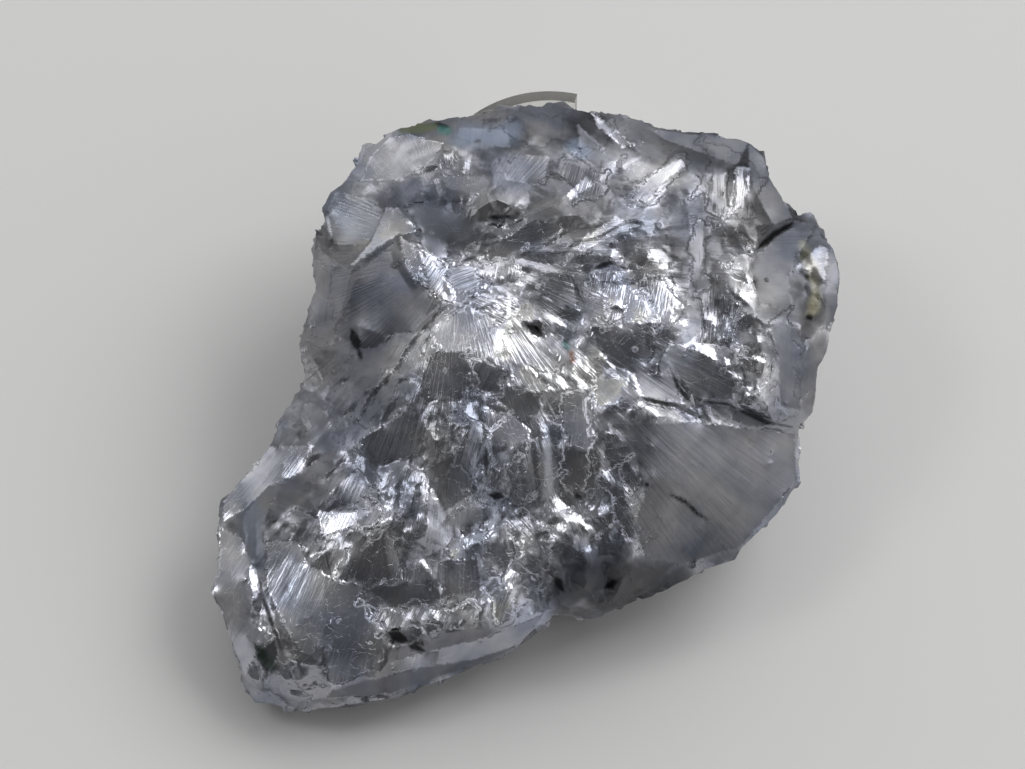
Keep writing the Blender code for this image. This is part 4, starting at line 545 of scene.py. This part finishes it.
def shardCells(across, along, wide, length, salt):
    # three random numbers for the shard that each point falls in
    u, v = across / wide, along / length
    cellU, cellV = np.floor(u), np.floor(v)
    best = np.full(len(u), 1e9)
    found = np.zeros((3, len(u)))
    for du in (-1, 0, 1):
        for dv in (-1, 0, 1):
            i, j = cellU + du, cellV + dv
            away = (i + hashed(i, j, salt) - u) ** 2 + (j + hashed(i, j, salt + 1) - v) ** 2
            closer = away < best
            best = np.where(closer, away, best)
            for k in range(3):
                found[k] = np.where(closer, hashed(i, j, salt + 2 + k), found[k])
    return found


# Freshness: a factor on the base colour that paints light and shade, below 1 where a face is painted
# darker and made rougher, above 1 where it is painted brighter

dullAndPaintedLightPatches = [
    # path, half width, freshness in the middle: above 1 painted light, below 1 painted shade with a
    # rougher face
    ((33.6, 25.0, 34.0, 33.0, 34.6, 38.0), 5.6, 0.5), ((35.0, 21.6, 38.0, 23.0), 3.0, 0.60),
    ((41.6, 21.6, 46.0, 23.0), 3.6, 0.55), ((43.0, 12.2, 58.0, 12.0), 2.8, 0.34),
    ((51.0, 17.0, 58.0, 20.0), 3.6, 0.5),
    ((46.0, 28.0, 51.0, 29.0), 2.8, 1.7), ((46.0, 33.0, 50.0, 34.6), 3.6, 1.3),
    ((52.0, 34.0, 58.0, 36.0), 3.4, 1.9), ((60.6, 28.4, 66.0, 30.4), 3.0, 1.5),
    ((60.0, 38.0, 63.6, 39.0), 2.4, 1.5), ((66.0, 17.0, 63.6, 20.4), 2.4, 1.1),
    ((71.0, 33.0, 74.4, 38.0), 2.6, 1.4), ((62.0, 34.6, 68.0, 37.0), 3.0, 1.15),
    ((38.0, 44.0, 43.6, 45.6), 3.4, 0.85), ((51.0, 43.0, 60.0, 46.0), 3.6, 1.25),
    ((66.0, 44.0, 78.0, 48.0), 4.4, 0.75), ((66.0, 52.0, 74.0, 55.0), 3.0, 0.8),
    ((27.0, 43.0, 33.0, 41.0), 3.0, 0.85), ((24.0, 49.0, 31.0, 47.0), 3.6, 0.5),
    ((25.4, 52.0, 26.0, 57.0), 2.4, 0.5), ((31.0, 51.0, 36.0, 48.0), 2.6, 0.65),
    ((44.0, 50.0, 47.6, 53.0), 3.0, 1.5), ((57.0, 58.0, 66.0, 58.6), 2.8, 0.28),
    ((46.0, 57.4, 52.0, 60.0), 3.0, 2.1), ((34.0, 60.0, 40.0, 59.0), 3.0, 1.15),
    ((81.4, 24.0, 83.0, 30.0), 2.6, 0.42), ((78.6, 32.0, 82.0, 38.0), 3.0, 0.55),
    ((75.6, 16.0, 78.6, 22.0), 2.8, 0.42), ((60.0, 12.4, 66.0, 13.0, 74.0, 15.4), 2.6, 0.42),
    ((60.0, 42.0, 61.4, 47.0), 2.2, 0.85), ((69.0, 22.0, 70.4, 29.0), 2.6, 0.5),
    ((40.0, 66.0, 48.0, 64.6), 2.6, 0.6), ((52.0, 50.0, 58.0, 54.0), 3.4, 1.1),
    ((33.6, 40.4, 36.6, 43.6), 2.6, 1.5), ((33.6, 46.6, 38.0, 49.4), 2.6, 1.4),
    ((70.0, 16.0, 77.0, 20.0), 3.4, 0.62), ((77.0, 23.0, 79.0, 30.0), 3.2, 0.62),
    ((66.0, 22.0, 72.0, 25.0), 3.0, 0.8), ((64.0, 16.0, 68.0, 14.0), 3.0, 0.75),
]


paintedShadeCuts = [
    # path, half width: slits, holes and cracks painted black as shade
    ((59.4, 26.9, 61.0, 26.3, 62.8, 27.0), 0.32), ((48.8, 21.8, 51.2, 21.6), 0.22),
    ((79.4, 22.3, 77.4, 23.4, 75.6, 25.0), 0.30), ((70.2, 40.1, 72.6, 40.4, 76.6, 42.2, 79.2, 42.7), 0.24),
    ((66.8, 36.5, 67.8, 38.8, 69.8, 41.4), 0.20), ((64.0, 39.8, 67.8, 40.6), 0.22),
    ((67.0, 49.4, 68.6, 50.2, 69.5, 51.2, 70.5, 51.8), 0.18), ((39.0, 63.1, 40.8, 63.9), 0.50),
    ((41.0, 64.4, 42.5, 64.9), 0.35), ((52.6, 32.6, 54.2, 33.4), 0.42), ((57.4, 49.2, 58.2, 49.8), 0.4),
    ((26.3, 59.2, 27.4, 62.2, 28.6, 65.4), 0.22), ((25.9, 64.6, 26.8, 65.8), 0.4),
    ((48.6, 44.6, 48.7, 48.0), 0.26), ((48.8, 49.4, 50.4, 49.6), 0.3), ((43.4, 12.3, 44.8, 12.6), 0.5),
    ((55.2, 57.4, 56.4, 59.0), 0.4), ((60.4, 58.6, 61.6, 58.0), 0.5), ((46.2, 26.2, 47.8, 25.6), 0.2),
    ((41.2, 54.0, 42.8, 54.9), 0.2), ((80.6, 27.2, 80.9, 28.0), 0.3), ((80.8, 31.4, 81.1, 32.0), 0.3),
    ((72.4, 34.0, 72.9, 34.8), 0.24), ((74.0, 36.5, 74.6, 38.4), 0.22), ((61.4, 30.7, 62.0, 31.1), 0.2),
    ((35.2, 33.0, 36.2, 36.0), 0.5), ((31.0, 22.4, 32.0, 21.6), 0.3), ((57.0, 27.6, 58.4, 30.4), 0.24),
    ((64.4, 48.2, 64.8, 48.6), 0.2), ((45.0, 57.0, 45.4, 56.2), 0.18), ((32.6, 55.0, 33.4, 58.0), 0.18),
]


cutLook = {
    "ragged": 0.9,
    "tip": 0.25,   # share of the width left at the ends
    "fade": 0.2,   # mm
    "dark": 0.85,
}
facetRagged, sideRagged = 0.12, 0.25  # how much freshness wanders on a facet and on the sides


def patchShare(x, y, path, half, ragged, reach):
    # 1 along a path, fading with a broken border to 0 at reach half widths
    away, _, _ = pathDistance(x, y, path)
    return np.clip(reach - away / half + 0.5 * ragged, 0.0, 1.0)


def dullAndPaintedLightField(x, y, ragged):
    # freshness before the dark cuts
    total = np.zeros(len(x))
    for path, half, fresh in dullAndPaintedLightPatches:
        share = patchShare(x, y, path, half, ragged, 1.5)
        total += math.log(fresh) * share * share * (3.0 - 2.0 * share)
    total = np.exp(total)
    # each facet's painted light and shade
    for corners, _, fresh in facets:
        inside = insideCorners(x, y, corners)
        total[inside] = fresh * (1.0 + facetRagged * ragged[inside])
    return total


def dullAndPaintedLight(mesh):
    # painted light and shade for the base colour, with the cuts painted black as shade
    flat = sheetPlaces(mesh)
    x, y = flat[:, 0], flat[:, 1]
    ragged = raggedness(x, y)
    fresh = dullAndPaintedLightField(x, y, ragged)
    for path, half in paintedShadeCuts:
        away, _, along = pathDistance(x, y, path)
        place = np.clip(along / max(along.max(), 1e-6), 0.0, 1.0)
        taper = cutLook["tip"] + (1.0 - cutLook["tip"]) * np.sin(np.pi * place)
        width = half * taper * (1.0 + cutLook["ragged"] * ragged)
        share = np.clip((width - away) / cutLook["fade"] + 0.4, 0.0, 1.0)
        # painted shade: the cuts darken the base colour
        fresh *= 1.0 - cutLook["dark"] * share
    front = frontShare(mesh)
    return sideFresh * (1.0 + sideRagged * ragged) * (1.0 - front) + fresh * front


# Sculpting: the fine breaks are pressed into the mesh by the slopes they should have

shards = {
    # size across and along the streaks in mm, and how far they lean
    "broad": (2.0, 4.2, 0.36),
    "small": (1.0, 2.4, 0.22),
    "brightShare": 0.10,
    "darkShare": 0.12,
    "dulled": (0.35, 0.4, 0.3),  # freshness where they start, its span, and the least share
}


def wantedSlopes(x, y, slope):
    # how far each triangle's slope should change, where a later break covers an earlier one
    wanted = np.zeros_like(slope)
    ragged = raggedness(x, y)
    broken = 1.0 + sculptSettings["ragged"] * ragged

    def lay(inside, way):
        wanted[inside] = (slopeOf(way) - slope)[inside]

    start, span, least = shards["dulled"]
    loose = calmField(x, y) * np.clip((dullAndPaintedLightField(x, y, ragged) - start) / span, least, 1.0)
    across, along, _ = grainField(x, y)
    for salt, (wide, length, leanBy) in ((11, shards["broad"]), (31, shards["small"])):
        a, b, pick = shardCells(across, along, wide, length, salt)
        wanted += np.stack((a - 0.5, b - 0.5), -1) * (2.0 * leanBy * loose)[:, None]
        lay((pick < shards["brightShare"]) & (loose > 0.5), flash)
        lay((pick > 1.0 - shards["darkShare"]) & (loose > 0.5), dark)
    for path, half, way in calmFaces:
        lay(pathDistance(x, y, path)[0] * broken < half, way)
    for corners, way, _ in facets:
        lay(insideCorners(x, y, corners), way)
    for path, half, way in fineFaces:
        lay(pathDistance(x, y, path)[0] * broken < half, way)
    right, up = sculptSettings["toLight"]
    for path, half in ridgeLines:
        away, side, _ = pathDistance(x, y, path)
        turn = (path[-1] - path[1]) * up + (path[-2] - path[0]) * right
        lit = side if turn > 0 else -side
        lay((away < half) & (lit >= 0), flash)
        lay((away < half) & (lit < 0), dark)
    return wanted


def frontTriangles(mesh, flat):
    # triangles seen from the sheet, their corners, slope weights and areas, and the held points
    triangles = meshTriangles(mesh)
    corner = flat[triangles]
    sideA, sideB = corner[:, 1] - corner[:, 0], corner[:, 2] - corner[:, 0]
    twice = -(sideA[:, 0] * sideB[:, 1] - sideA[:, 1] * sideB[:, 0])
    spaceArea = np.linalg.norm(np.cross(sideA, sideB), axis=1)
    front = twice > sculptSettings["leastFront"] * spaceArea
    fixed = np.ones(len(flat), bool)
    fixed[triangles[front]] = False
    fixed[triangles[~front]] = True
    triangles, corner = triangles[front], corner[front]
    twice = np.maximum(twice[front], sculptSettings["leastArea"])
    weights = np.zeros((len(triangles), 3, 2))
    for k in range(3):
        edge = corner[:, (k + 2) % 3] - corner[:, (k + 1) % 3]
        weights[:, k, 0] = edge[:, 1] / twice
        weights[:, k, 1] = -edge[:, 0] / twice
    return triangles, corner, weights, twice / 2.0, fixed


def solveRise(triangles, weights, area, wanted, fixed):
    # height to add at each point so that the slopes come close to the wanted ones
    count = len(fixed)

    def gathered(perCorner):
        total = np.zeros(count)
        for k in range(3):
            total += np.bincount(triangles[:, k], perCorner(k), count)
        return total

    hold = gathered(lambda k: area / 3.0) / sculptSettings["reach"] ** 2
    stiff = gathered(lambda k: area * (weights[:, k] ** 2).sum(axis=1)) + hold + 1e-9

    def applied(values):
        grade = (weights * values[triangles][:, :, None]).sum(axis=1) * area[:, None]
        out = hold * values + gathered(lambda k: (weights[:, k] * grade).sum(axis=1))
        out[fixed] = 0.0
        return out

    left = gathered(lambda k: area * (weights[:, k] * wanted).sum(axis=1))
    left[fixed] = 0.0
    rise = np.zeros(count)
    step = left / stiff
    strength = left @ step
    for _ in range(sculptSettings["rounds"]):
        moved = applied(step)
        share = strength / max(step @ moved, 1e-30)
        rise += share * step
        left -= share * moved
        eased = left / stiff
        fresh = left @ eased
        step = eased + fresh / strength * step
        strength = fresh
    rise[fixed] = 0.0
    return rise


def sculpt(mesh):
    points, _ = meshArrays(mesh)
    triangles, corner, weights, area, fixed = frontTriangles(mesh, rowToSheet(points))
    slope = (weights * corner[:, :, 2][:, :, None]).sum(axis=1)
    middle = corner.mean(axis=1)
    wanted = wantedSlopes(middle[:, 0], middle[:, 1], slope)
    rise = solveRise(triangles, weights, area, wanted, fixed)
    points = points + rise[:, None] * sheetOut
    mesh.vertices.foreach_set("co", (points * mm).ravel())
    mesh.update()
    print("stone sculpted, moved up to", round(float(np.abs(rise).max()), 2), "mm")


sculpt(fineMesh)


# Node helpers

def node(tree, kind, **settings):
    made = tree.nodes.new(kind)
    for key, value in settings.items():
        setattr(made, key, value)
    return made


def connect(tree, value, socket):
    # a plain value is set on the socket itself, and another socket is linked to it
    if isinstance(value, bpy.types.NodeSocket):
        tree.links.new(value, socket)
    else:
        socket.default_value = value


def mathNode(tree, operation, *values):
    made = node(tree, "ShaderNodeMath", operation=operation)
    for socket, value in zip(made.inputs, values):
        connect(tree, value, socket)
    return made.outputs[0]


def summed(tree, values):
    total = values[0]
    for value in values[1:]:
        total = mathNode(tree, "ADD", total, value)
    return total


def vectorNode(tree, operation, first, second):
    made = node(tree, "ShaderNodeVectorMath", operation=operation)
    connect(tree, first, made.inputs[0])
    connect(tree, second, made.inputs["Scale"] if operation == "SCALE" else made.inputs[1])
    return made.outputs["Value" if operation == "DOT_PRODUCT" else "Vector"]


def noiseNode(tree, place, scale, detail=2.0, roughness=0.5, output="Fac"):
    made = node(tree, "ShaderNodeTexNoise")
    connect(tree, place, made.inputs["Vector"])
    for label, value in (("Scale", scale), ("Detail", detail), ("Roughness", roughness)):
        made.inputs[label].default_value = value
    return made.outputs[output]


def leaningCells(tree, place, size, seed=None):
    # height of flat cells that each lean their own way
    cells = node(tree, "ShaderNodeTexVoronoi", feature="F1",
                 voronoi_dimensions="3D" if seed is None else "4D")
    connect(tree, place, cells.inputs["Vector"])
    connect(tree, mathNode(tree, "DIVIDE", 1.0, size), cells.inputs["Scale"])
    if seed is not None:
        connect(tree, seed, cells.inputs["W"])
    away = vectorNode(tree, "SUBTRACT", place, cells.outputs["Position"])
    lean = vectorNode(tree, "SUBTRACT", cells.outputs["Color"], (0.5, 0.5, 0.5))
    return vectorNode(tree, "DOT_PRODUCT", away, lean)


# Chips: small flat breaks on the sides and back, each tilted its own way

chips = {
    "Coarse Size": 2.6,  # mm
    "Coarse Slope": 0.24,
    "Fine Size": 1.3,
    "Fine Slope": 0.18,
    "Ripple": 0.015,
    "Seed": 4.0,
}
chipBends = {
    "wobble": 0.35,     # how fine the bends of the chips' borders are
    "ripple": 1.6,
    "slopeGain": 3.0,
    "seedStep": 7.3,    # keeps the fine chips apart from the coarse ones
    "amount": 0.8,      # share of the full chips on the back
    "frontFade": 0.4,   # how square to the sheet a surface is when the chips have gone
}


def newTree(name, numbers):
    tree = bpy.data.node_groups.new(name, "GeometryNodeTree")
    tree.interface.new_socket("Geometry", in_out="INPUT", socket_type="NodeSocketGeometry")
    tree.interface.new_socket("Geometry", in_out="OUTPUT", socket_type="NodeSocketGeometry")
    for label, value in numbers.items():
        socket = tree.interface.new_socket(label, in_out="INPUT", socket_type="NodeSocketFloat")
        socket.default_value = value
    tree.interface.new_socket("Material", in_out="INPUT", socket_type="NodeSocketMaterial")
    return tree


def chipHeight(tree, given):
    # height of both sizes of chip and a fine ripple, in mm
    position = node(tree, "GeometryNodeInputPosition").outputs[0]
    place = vectorNode(tree, "SCALE", position, 1.0 / mm)
    wobble = noiseNode(tree, place, chipBends["wobble"], output="Color")
    bent = vectorNode(tree, "ADD", place, wobble)
    parts = []
    for label, seedStep in (("Coarse", 0.0), ("Fine", chipBends["seedStep"])):
        seed = mathNode(tree, "ADD", given["Seed"], seedStep)
        cells = leaningCells(tree, bent, given[label + " Size"], seed)
        slope = mathNode(tree, "MULTIPLY", given[label + " Slope"], chipBends["slopeGain"])
        parts.append(mathNode(tree, "MULTIPLY", cells, slope))
    ripple = noiseNode(tree, place, chipBends["ripple"], 3.0)
    centred = mathNode(tree, "SUBTRACT", ripple, 0.5)
    parts.append(mathNode(tree, "MULTIPLY", centred, given["Ripple"]))
    return summed(tree, parts)


def makeChipTree():
    tree = newTree("brokenSurface", chips)
    given = node(tree, "NodeGroupInput").outputs
    amount = node(tree, "GeometryNodeInputNamedAttribute", data_type="FLOAT")
    amount.inputs["Name"].default_value = "chipAmount"
    height = mathNode(tree, "MULTIPLY", chipHeight(tree, given), amount.outputs["Attribute"])
    height = mathNode(tree, "MULTIPLY", height, mm)
    normal = node(tree, "GeometryNodeInputNormal").outputs[0]
    move = node(tree, "GeometryNodeSetPosition")
    connect(tree, given["Geometry"], move.inputs["Geometry"])
    connect(tree, vectorNode(tree, "SCALE", normal, height), move.inputs["Offset"])
    real = node(tree, "GeometryNodeRealizeInstances")
    connect(tree, move.outputs[0], real.inputs[0])
    paint = node(tree, "GeometryNodeSetMaterial")
    connect(tree, real.outputs[0], paint.inputs["Geometry"])
    connect(tree, given["Material"], paint.inputs["Material"])
    connect(tree, paint.outputs[0], node(tree, "NodeGroupOutput").inputs["Geometry"])
    return tree


def bakeTree(piece, tree, values):
    # runs a node tree on a piece and keeps the result as its plain mesh
    modifier = piece.modifiers.new(tree.name, "NODES")
    modifier.node_group = tree
    for item in tree.interface.items_tree:
        if item.item_type == "SOCKET" and item.in_out == "INPUT" and item.name in values:
            modifier[item.identifier] = values[item.name]
    depsgraph = bpy.context.evaluated_depsgraph_get()
    result = bpy.data.meshes.new_from_object(piece.evaluated_get(depsgraph))
    piece.modifiers.clear()
    result.name = piece.name
    piece.data = result
    return result


# Tints: small coloured films, each path, half width, colour and strength

tints = [
    ((56.5, 34.4, 56.7, 34.8), 0.4, (0.05, 0.22, 0.21), 0.7),
    ((57.1, 35.4, 57.2, 36.0), 0.4, (0.34, 0.14, 0.05), 0.8),
    ((44.0, 12.8, 44.8, 13.0), 0.45, (0.05, 0.18, 0.16), 0.65),
    ((40.2, 12.8, 43.4, 12.6), 0.5, (0.10, 0.12, 0.06), 0.8),
    ((57.6, 14.8, 58.2, 15.0), 0.9, (0.30, 0.38, 0.52), 0.45),
    ((80.4, 24.6, 81.6, 28.0, 81.4, 31.0), 0.6, (0.30, 0.28, 0.16), 0.35),
    ((25.8, 64.4, 27.6, 66.6), 0.6, (0.06, 0.09, 0.075), 0.7),
    ((33.8, 21.0, 37.4, 23.4), 2.0, (0.20, 0.25, 0.33), 0.35),
    ((41.4, 20.6, 46.0, 23.6), 2.2, (0.18, 0.22, 0.29), 0.35),
    ((46.2, 13.6, 51.0, 13.2), 1.2, (0.18, 0.23, 0.32), 0.45),
    ((36.0, 24.6, 40.0, 22.6), 0.8, (0.38, 0.37, 0.33), 0.35),
    ((24.6, 49.0, 25.8, 56.0), 1.2, (0.17, 0.21, 0.28), 0.45),
    ((30.0, 57.0, 31.4, 64.0), 1.4, (0.38, 0.42, 0.48), 0.4),
]


def storeTints(mesh):
    flat = sheetPlaces(mesh)
    x, y = flat[:, 0], flat[:, 1]
    ragged = raggedness(x, y)
    film = np.zeros((len(x), 4))
    for path, half, colour, strength in tints:
        share = patchShare(x, y, path, half, ragged, 1.4) * strength
        film[:, :3] = np.where((share > film[:, 3])[:, None], colour, film[:, :3])
        film[:, 3] = np.maximum(film[:, 3], share)
    film[:, 3] *= frontShare(mesh)
    layer = mesh.attributes.new("film", "FLOAT_COLOR", "POINT")
    layer.data.foreach_set("color", film.astype(np.float32).ravel())


storeTints(fineMesh)
storeGrain(fineMesh)
storeValue(fineMesh, "calm", calmShare(fineMesh))
# fresh: painted light and shade on the base colour, and the dulling of the roughness
storeValue(fineMesh, "fresh", dullAndPaintedLight(fineMesh))


# Materials

galenaLook = {
    "drift": [(0.36, (0.26, 0.28, 0.34)), (0.5, (0.38, 0.385, 0.43)), (0.64, (0.48, 0.48, 0.50))],
    "driftScale": 0.16,
    "speck": (0.06, 0.065, 0.06, 1.0),
    "speckScale": 2.6,
    "speckEdges": (0.66, 0.72),
    "roughness": (0.14, 0.30),
    "roughScale": 0.5,
    "speckRough": 0.3,
    "dullRough": 0.35,                  # added where the stone is fully dulled
    "patina": (0.35, 0.75, 0.45, 1.0),  # freshness span, and the share of small breaks it leaves
    "streaks": [(1.5, 0.10, 4.0, 0.75), (4.5, 0.30, 3.0, 0.25)],  # across, along, detail, share
    "lineDepth": 0.22,                  # mm
    "shards": [(1.7, 0.17), (0.7, 0.085)],  # size in mm, lean
    "shardWobble": 0.8,
    "calmShards": 0.15,                 # share of the shards left on calm faces
    "sharpAngle": 9.0,                  # degrees
}


def meshValue(tree, name):
    return node(tree, "ShaderNodeAttribute", attribute_name=name).outputs


def rampNode(tree, source, stops):
    made = node(tree, "ShaderNodeValToRGB")
    connect(tree, source, made.inputs["Fac"])
    ramp = made.color_ramp
    while len(ramp.elements) < len(stops):
        ramp.elements.new(1.0)
    for element, (place, colour) in zip(ramp.elements, stops):
        element.position = place
        element.color = (*colour, 1.0)
    return made.outputs["Color"]


def mixColour(tree, share, first, second):
    made = node(tree, "ShaderNodeMix", data_type="RGBA")
    for label, value in (("Factor", share), ("A", first), ("B", second)):
        connect(tree, value, made.inputs[label])
    return made.outputs["Result"]


def makeShardGroup():
    group = bpy.data.node_groups.new("shardHeight", "ShaderNodeTree")
    group.interface.new_socket("Place", in_out="INPUT", socket_type="NodeSocketVector")
    group.interface.new_socket("Size", in_out="INPUT", socket_type="NodeSocketFloat")
    group.interface.new_socket("Height", in_out="OUTPUT", socket_type="NodeSocketFloat")
    given = node(group, "NodeGroupInput").outputs
    height = leaningCells(group, given["Place"], given["Size"])
    connect(group, height, node(group, "NodeGroupOutput").inputs["Height"])
    return group


def galenaColour(tree, place, fresh, speckShare):
    # blue grey to pale grey in drifts, scaled by freshness, the painted light and shade, under thin films
    # and dark specks
    drift = noiseNode(tree, place, galenaLook["driftScale"], 3.0)
    base = rampNode(tree, drift, galenaLook["drift"])
    film = meshValue(tree, "film")
    # painted light and shade: the base colour scaled by fresh
    metal = vectorNode(tree, "SCALE", base, fresh)
    filmed = mixColour(tree, film["Alpha"], metal, film["Color"])
    return mixColour(tree, speckShare, filmed, galenaLook["speck"])


def galenaRoughness(tree, place, fresh, speckShare):
    # nearly a mirror where fresh, rougher where freshness is below 1 and on specks
    low, high = galenaLook["roughness"]
    rough = noiseNode(tree, place, galenaLook["roughScale"], 3.0)
    dulled = mathNode(tree, "MAXIMUM", mathNode(tree, "SUBTRACT", 1.0, fresh), 0.0)
    return summed(tree, [
        mathNode(tree, "MULTIPLY", rough, high - low), low,
        mathNode(tree, "MULTIPLY", speckShare, galenaLook["speckRough"]),
        mathNode(tree, "MULTIPLY", dulled, galenaLook["dullRough"]),
    ])


def streakHeight(tree):
    # fine striations that run the way the mesh says
    place = meshValue(tree, "grainPlace")["Vector"]
    parts = []
    for across, along, detail, share in galenaLook["streaks"]:
        spread = vectorNode(tree, "MULTIPLY", place, (across, along, 0.0))
        parts.append(mathNode(tree, "MULTIPLY", noiseNode(tree, spread, 1.0, detail, 0.6), share))
    lines = mathNode(tree, "MULTIPLY", summed(tree, parts), meshValue(tree, "grainAmount")["Fac"])
    return mathNode(tree, "MULTIPLY", lines, galenaLook["lineDepth"])


def rubbleHeight(tree, place, fresh, calm):
    # small shards, fewest on calm and on dulled faces
    group = makeShardGroup()
    bent = vectorNode(tree, "ADD", place, noiseNode(tree, place, galenaLook["shardWobble"], 2.0))
    parts = []
    for size, lean in galenaLook["shards"]:
        shard = node(tree, "ShaderNodeGroup")
        shard.node_tree = group
        connect(tree, bent, shard.inputs["Place"])
        shard.inputs["Size"].default_value = size
        parts.append(mathNode(tree, "MULTIPLY", shard.outputs["Height"], lean))
    bare = node(tree, "ShaderNodeMapRange")
    connect(tree, fresh, bare.inputs["Value"])
    for label, value in zip(("From Min", "From Max", "To Min", "To Max"), galenaLook["patina"]):
        bare.inputs[label].default_value = value
    left = galenaLook["calmShards"]
    loose = mathNode(tree, "ADD", mathNode(tree, "MULTIPLY", calm, 1.0 - left), left)
    loose = mathNode(tree, "MULTIPLY", loose, bare.outputs["Result"])
    return mathNode(tree, "MULTIPLY", summed(tree, parts), loose)


def makeGalena():
    material = bpy.data.materials.new("galena")
    material.use_nodes = True
    tree = material.node_tree
    shader = tree.nodes["Principled BSDF"]
    shader.inputs["Metallic"].default_value = 1.0
    inMm = (1.0 / mm,) * 3
    place = vectorNode(tree, "MULTIPLY", node(tree, "ShaderNodeTexCoord").outputs["Object"], inMm)
    fresh, calm = meshValue(tree, "fresh")["Fac"], meshValue(tree, "calm")["Fac"]
    speck = noiseNode(tree, place, galenaLook["speckScale"], 3.0, 0.7)
    low, high = galenaLook["speckEdges"]
    mask = rampNode(tree, speck, [(0.0, (0, 0, 0)), (low, (0, 0, 0)), (high, (1, 1, 1))])
    speckShare = mathNode(tree, "MULTIPLY", mask, calm)
    colour = galenaColour(tree, place, fresh, speckShare)
    connect(tree, colour, shader.inputs["Base Color"])
    roughness = galenaRoughness(tree, place, fresh, speckShare)
    connect(tree, roughness, shader.inputs["Roughness"])
    bump = node(tree, "ShaderNodeBump")
    bump.inputs["Strength"].default_value = 1.0
    bump.inputs["Distance"].default_value = mm
    height = mathNode(tree, "ADD", streakHeight(tree), rubbleHeight(tree, place, fresh, calm))
    connect(tree, height, bump.inputs["Height"])
    connect(tree, bump.outputs["Normal"], shader.inputs["Normal"])
    return material


def finishStone(piece):
    # chips on the back and sides, kept inside the solid's own box
    _, normals = meshArrays(piece.data)
    turnedAway = np.clip(1.0 - normals @ sheetOut / chipBends["frontFade"], 0.0, 1.0)
    storeValue(piece.data, "chipAmount", chipBends["amount"] * turnedAway)
    mesh = bakeTree(piece, makeChipTree(), {**chips, "Material": makeGalena()})
    low, high = [np.array(corner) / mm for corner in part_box("galena")]
    points, _ = meshArrays(mesh)
    mesh.vertices.foreach_set("co", (np.clip(points, low, high) * mm).ravel())
    mesh.update()
    mesh.set_sharp_from_angle(angle=math.radians(galenaLook["sharpAngle"]))
    print("stone broken:", len(mesh.polygons), "triangles")


finishStone(stonePiece)
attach(stonePiece, "root")
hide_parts("galena")


# Ring stand

plasticLook = {
    "Base Color": (0.97, 0.965, 0.93, 1.0),
    "Roughness": 0.22,
    "Transmission Weight": 0.92,
    "IOR": 1.49,
}


def plainMaterial(name, look):
    material = bpy.data.materials.new(name)
    material.use_nodes = True
    shader = material.node_tree.nodes["Principled BSDF"]
    for label, value in look.items():
        shader.inputs[label].default_value = value
    return material


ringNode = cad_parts["ring_stand"]
ringNode.data.materials.clear()
ringNode.data.materials.append(plainMaterial("clear_plastic", plasticLook))
print("ring stand finished")


# Floor and light

floorSize = 4.0  # m
floorLook = {
    "Base Color": (0.80, 0.795, 0.79, 1.0),
    "Roughness": 0.85,
    "Specular IOR Level": 0.15,
}


def makeFloor():
    mesh = bpy.data.meshes.new("floor")
    half = floorSize / 2.0
    mesh.from_pydata([(-half, -half, 0.0), (half, -half, 0.0), (half, half, 0.0),
                      (-half, half, 0.0)], [], [(0, 1, 2, 3)])
    mesh.materials.append(plainMaterial("floor", floorLook))
    addObject("floor", mesh)


makeFloor()

lights = {
    # degrees round from the camera's right, degrees off its line, distance and size in m,
    # brightness
    "key": (143.0, 52.0, 0.9, 0.25, 3.2),
    "back": (48.0, 66.0, 0.9, 0.6, 2.7),
}
surround = {
    # degrees off the camera's line, and the grey seen there
    "steps": [(0.0, 0.26), (22.0, 0.31), (42.0, 0.46), (75.0, 0.62), (180.0, 0.62)],
    "sides": (0.35, 1.0, 0.0),  # brighter to the right and behind, as the floor lies
    "sideShare": 0.66,
    "panels": 1.4,  # scale of the soft panels of light and dark round the room
    "panelTones": [(0.38, (0.55,) * 3), (0.62, (1.45,) * 3)],
}


def makeLight(name, turn, off, distance, size, brightness):
    data = bpy.data.lights.new(name, "AREA")
    data.shape = "SQUARE"
    data.size = size
    data.energy = brightness * math.pi * size ** 2
    light = bpy.data.objects.new(name, data)
    bpy.context.scene.collection.objects.link(light)
    a, b = math.radians(turn), math.radians(off)
    way = (math.sin(b) * math.cos(a) * sheetRight + math.sin(b) * math.sin(a) * sheetUp
           + math.cos(b) * sheetOut)
    middle = sheetToRow(*cameraSettings["frameMiddle"]) * mm
    light.location = Vector(middle + way * distance)
    light.rotation_mode = "QUATERNION"
    light.rotation_quaternion = Vector(way).to_track_quat("Z", "Y")


def makeSurround():
    # a pale room in soft panels, darkest behind the camera
    world = bpy.data.worlds.new("world")
    world.use_nodes = True
    tree = world.node_tree
    way = node(tree, "ShaderNodeTexCoord").outputs["Generated"]
    cosine = vectorNode(tree, "DOT_PRODUCT", way, sheetOut)
    share = mathNode(tree, "MULTIPLY", mathNode(tree, "SUBTRACT", 1.0, cosine), 0.5)
    stops = [((1.0 - math.cos(math.radians(off))) / 2.0, (grey,) * 3)
             for off, grey in surround["steps"]]
    panels = rampNode(tree, noiseNode(tree, way, surround["panels"], 0.0), surround["panelTones"])
    room = vectorNode(tree, "MULTIPLY", rampNode(tree, share, stops), panels)
    slant = [surround["sideShare"] * side for side in surround["sides"]]
    strength = mathNode(tree, "ADD", vectorNode(tree, "DOT_PRODUCT", way, slant), 1.0)
    shown = vectorNode(tree, "SCALE", room, strength)
    connect(tree, shown, tree.nodes["Background"].inputs["Color"])
    bpy.context.scene.world = world


for lightName, values in lights.items():
    makeLight(lightName, *values)
makeSurround()
bpy.context.scene.view_settings.view_transform = "Standard"
print("floor and lights set")
